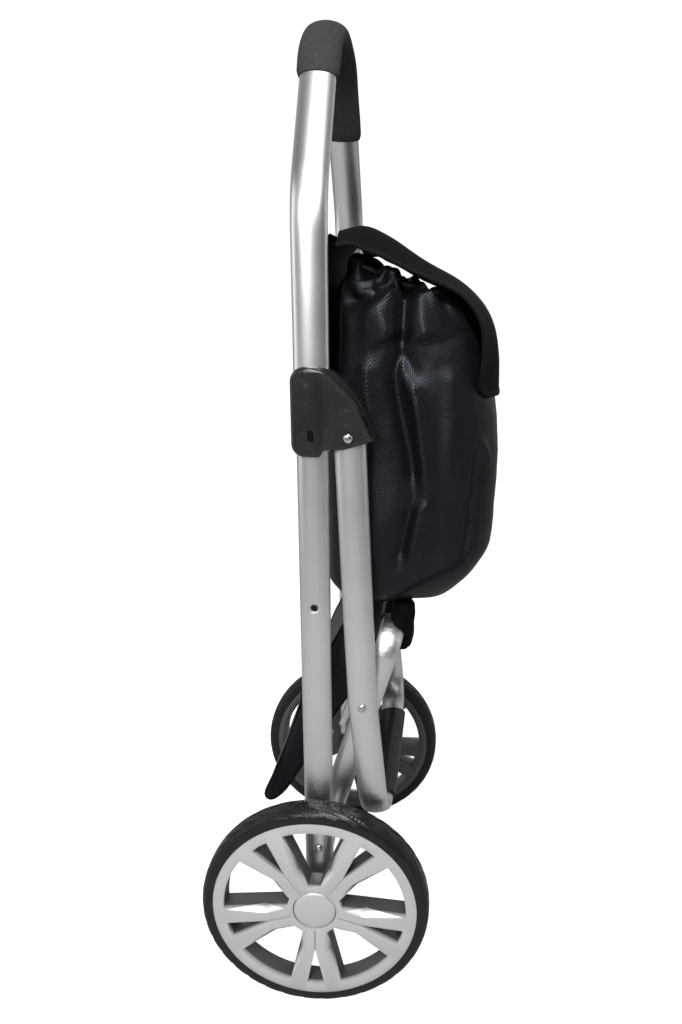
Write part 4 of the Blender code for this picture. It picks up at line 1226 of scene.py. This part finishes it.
def base_spot(x, s, n):
    """The point of the folded bottom at a distance s along it and n above it."""
    along = np.array([math.sin(BASE_LEAN), -math.cos(BASE_LEAN)])
    above = np.array([math.cos(BASE_LEAN), math.sin(BASE_LEAN)])
    y, z = np.array(BASE_POINT) + along * s + above * n
    return Vector((x, LEG_Y + y, z))


def make_bag_bottom():
    """The bag's stiffened bottom, folded up behind the lower frame."""
    outline = smooth_curve([*BASE_OUTLINE, BASE_OUTLINE[0]], 8)[:-1]
    centre = outline.mean(axis=0)
    widths = [(-0.1195, 0.90), (-0.1185, 0.965)]
    widths += [(x, 1.0) for x in np.linspace(-0.1160, 0.1160, 45)]
    widths += [(0.1185, 0.965), (0.1195, 0.90)]
    rings = []
    for x, scale in widths:
        ring = []
        for s, n in outline:
            s2 = centre[0] + (s - centre[0]) * (1 - (1 - scale) * 0.2)
            n2 = centre[1] + (n - centre[1]) * scale
            fold = 0.0012 * math.sin(55 * s + 22 * x) * math.sin(3.1 * n2 / 0.047) if 0.03 < s < 0.25 else 0.0
            ring.append(base_spot(x, s2, n2 + fold))
        rings.append(ring)
    item = new_piece("bag_bottom_panel", boxed(ring_mesh("bag_bottom", rings)), FABRIC)
    finish_piece(item, "bag_bottom", ["bag_base"], smooth=50.0)
    for name, side in SIDES:
        path = [base_spot(side * 0.1178, s, n) for s, n in outline]
        make_trim(f"bag_bottom_binding_{name}", "bag_bottom", path, 0.0017, loop=True)


# Pockets over the ends of the base frame's cross bar: (z, y of the middle, half depth, half width)
POCKET_RINGS = (
    (0.4515, -0.0955, 0.0030, 0.0040),
    (0.4540, -0.0955, 0.0090, 0.0110),
    (0.4600, -0.0960, 0.0125, 0.0145),
    (0.4700, -0.0965, 0.0138, 0.0160),
    (0.4850, -0.0970, 0.0140, 0.0165),
    (0.5000, -0.0980, 0.0140, 0.0165),
    (0.5090, -0.0985, 0.0125, 0.0150),
    (0.5140, -0.0980, 0.0080, 0.0100),
)
POCKET_X = 0.1015


def make_base_pocket(name, side):
    """A rounded cloth pocket that hangs over one end of the cross bar."""
    rings = []
    for z, y, half_y, half_x in smooth_curve(POCKET_RINGS, 5):
        ring = []
        for k in range(48):
            a = 2 * math.pi * k / 48
            pucker = 1.0 + 0.035 * math.sin(5 * a + 90 * z) + 0.02 * math.sin(9 * a - 150 * z)
            across, along = squared(a, 0.75)
            ring.append(Vector((side * (POCKET_X + across * half_x * pucker),
                                LEG_Y + y + along * half_y * pucker, z)))
        rings.append(ring)
    item = new_piece(f"base_pocket_{name}", boxed(ring_mesh("base_pocket", rings)), LID_FABRIC)
    finish_piece(item, "base_frame", smooth=60.0)


# Lights and floor
def area_light(name, place, target, size, size_y, power, colour=(1.0, 1.0, 1.0)):
    data = bpy.data.lights.new(name, "AREA")
    data.shape = "RECTANGLE"
    data.size = size
    data.size_y = size_y
    data.energy = power
    data.color = colour
    light = bpy.data.objects.new(name, data)
    light.location = place
    light.rotation_euler = (Vector(target) - Vector(place)).to_track_quat("-Z", "Y").to_euler()
    bpy.context.scene.collection.objects.link(light)


def make_world():
    """A white backdrop, with the studio brighter behind the object than behind the camera."""
    world = bpy.data.worlds.new("studio")
    world.use_nodes = True
    tree = world.node_tree
    generated = add_node(tree, "ShaderNodeTexCoord").outputs["Generated"]
    direction = add_node(tree, "ShaderNodeSeparateXYZ", Vector=generated)
    ahead = map_range(tree, direction.outputs[0], 0.07, 0.50, -0.20, 0.60)
    ahead.interpolation_type = "SMOOTHSTEP"
    background = tree.nodes["Background"]
    feed(tree, background.inputs["Color"], (1.0, 1.0, 1.0, 1.0))
    feed(tree, background.inputs["Strength"], add_camera_only(tree, 1.05, ahead.outputs[0]))
    bpy.context.scene.world = world


def make_studio():
    bpy.context.scene.view_settings.view_transform = "Standard"
    make_world()
    bm = bmesh.new()
    bmesh.ops.create_grid(bm, x_segments=1, y_segments=1, size=9.0)
    floor = new_piece("floor", mesh_from_bmesh("floor", bm), make_floor_paint())
    floor.location.z = -0.0005
    aim = (0.0, LEG_Y, 0.55)
    area_light("rear_softbox", (-0.9, 2.4, 1.1), aim, 0.7, 2.4, 12.0)
    area_light("front_softbox", (-0.5, -2.4, 1.2), aim, 0.5, 2.2, 6.0, (0.94, 0.97, 1.0))
    area_light("overhead_softbox", (-1.4, -0.1, 2.3), (0.0, LEG_Y, 0.7), 0.9, 1.1, 58.0, (0.93, 0.96, 1.0))
    area_light("camera_softbox", (-2.3, 0.7, 1.6), (0.0, LEG_Y, 0.5), 0.9, 0.9, 28.0)


make_camera()
make_studio()

PLAIN_FINISHES = {
    "aluminium": ALUMINIUM,
    "steel": STEEL,
    "silver_plastic": SILVER,
    "black_plastic": BLACK,
    "rubber": RUBBER,
    "foam": FOAM,
    "bag_fabric": FABRIC,
}
SLOT_OF_NODE = {part["node"]: part["material_slot"] for part in frame["record"]["subparts"]}
for node, item in frame["nodes"].items():
    # Lock buttons take the near-black painted shade of their slots.
    finish = LOCK_SLOT_SHADE if node.startswith("lock_button") else PLAIN_FINISHES[SLOT_OF_NODE[node]]
    item.data.materials.clear()
    item.data.materials.append(finish)

for name, side in SIDES:
    make_rim(name, side)
    make_hub_cap(name, side)
    make_tyre(name, side)
    make_shoulder(name, side)
    make_base_pocket(name, side)
make_screws()
make_handle()
make_bag()
make_flap()
make_hanger()
make_bag_bottom()
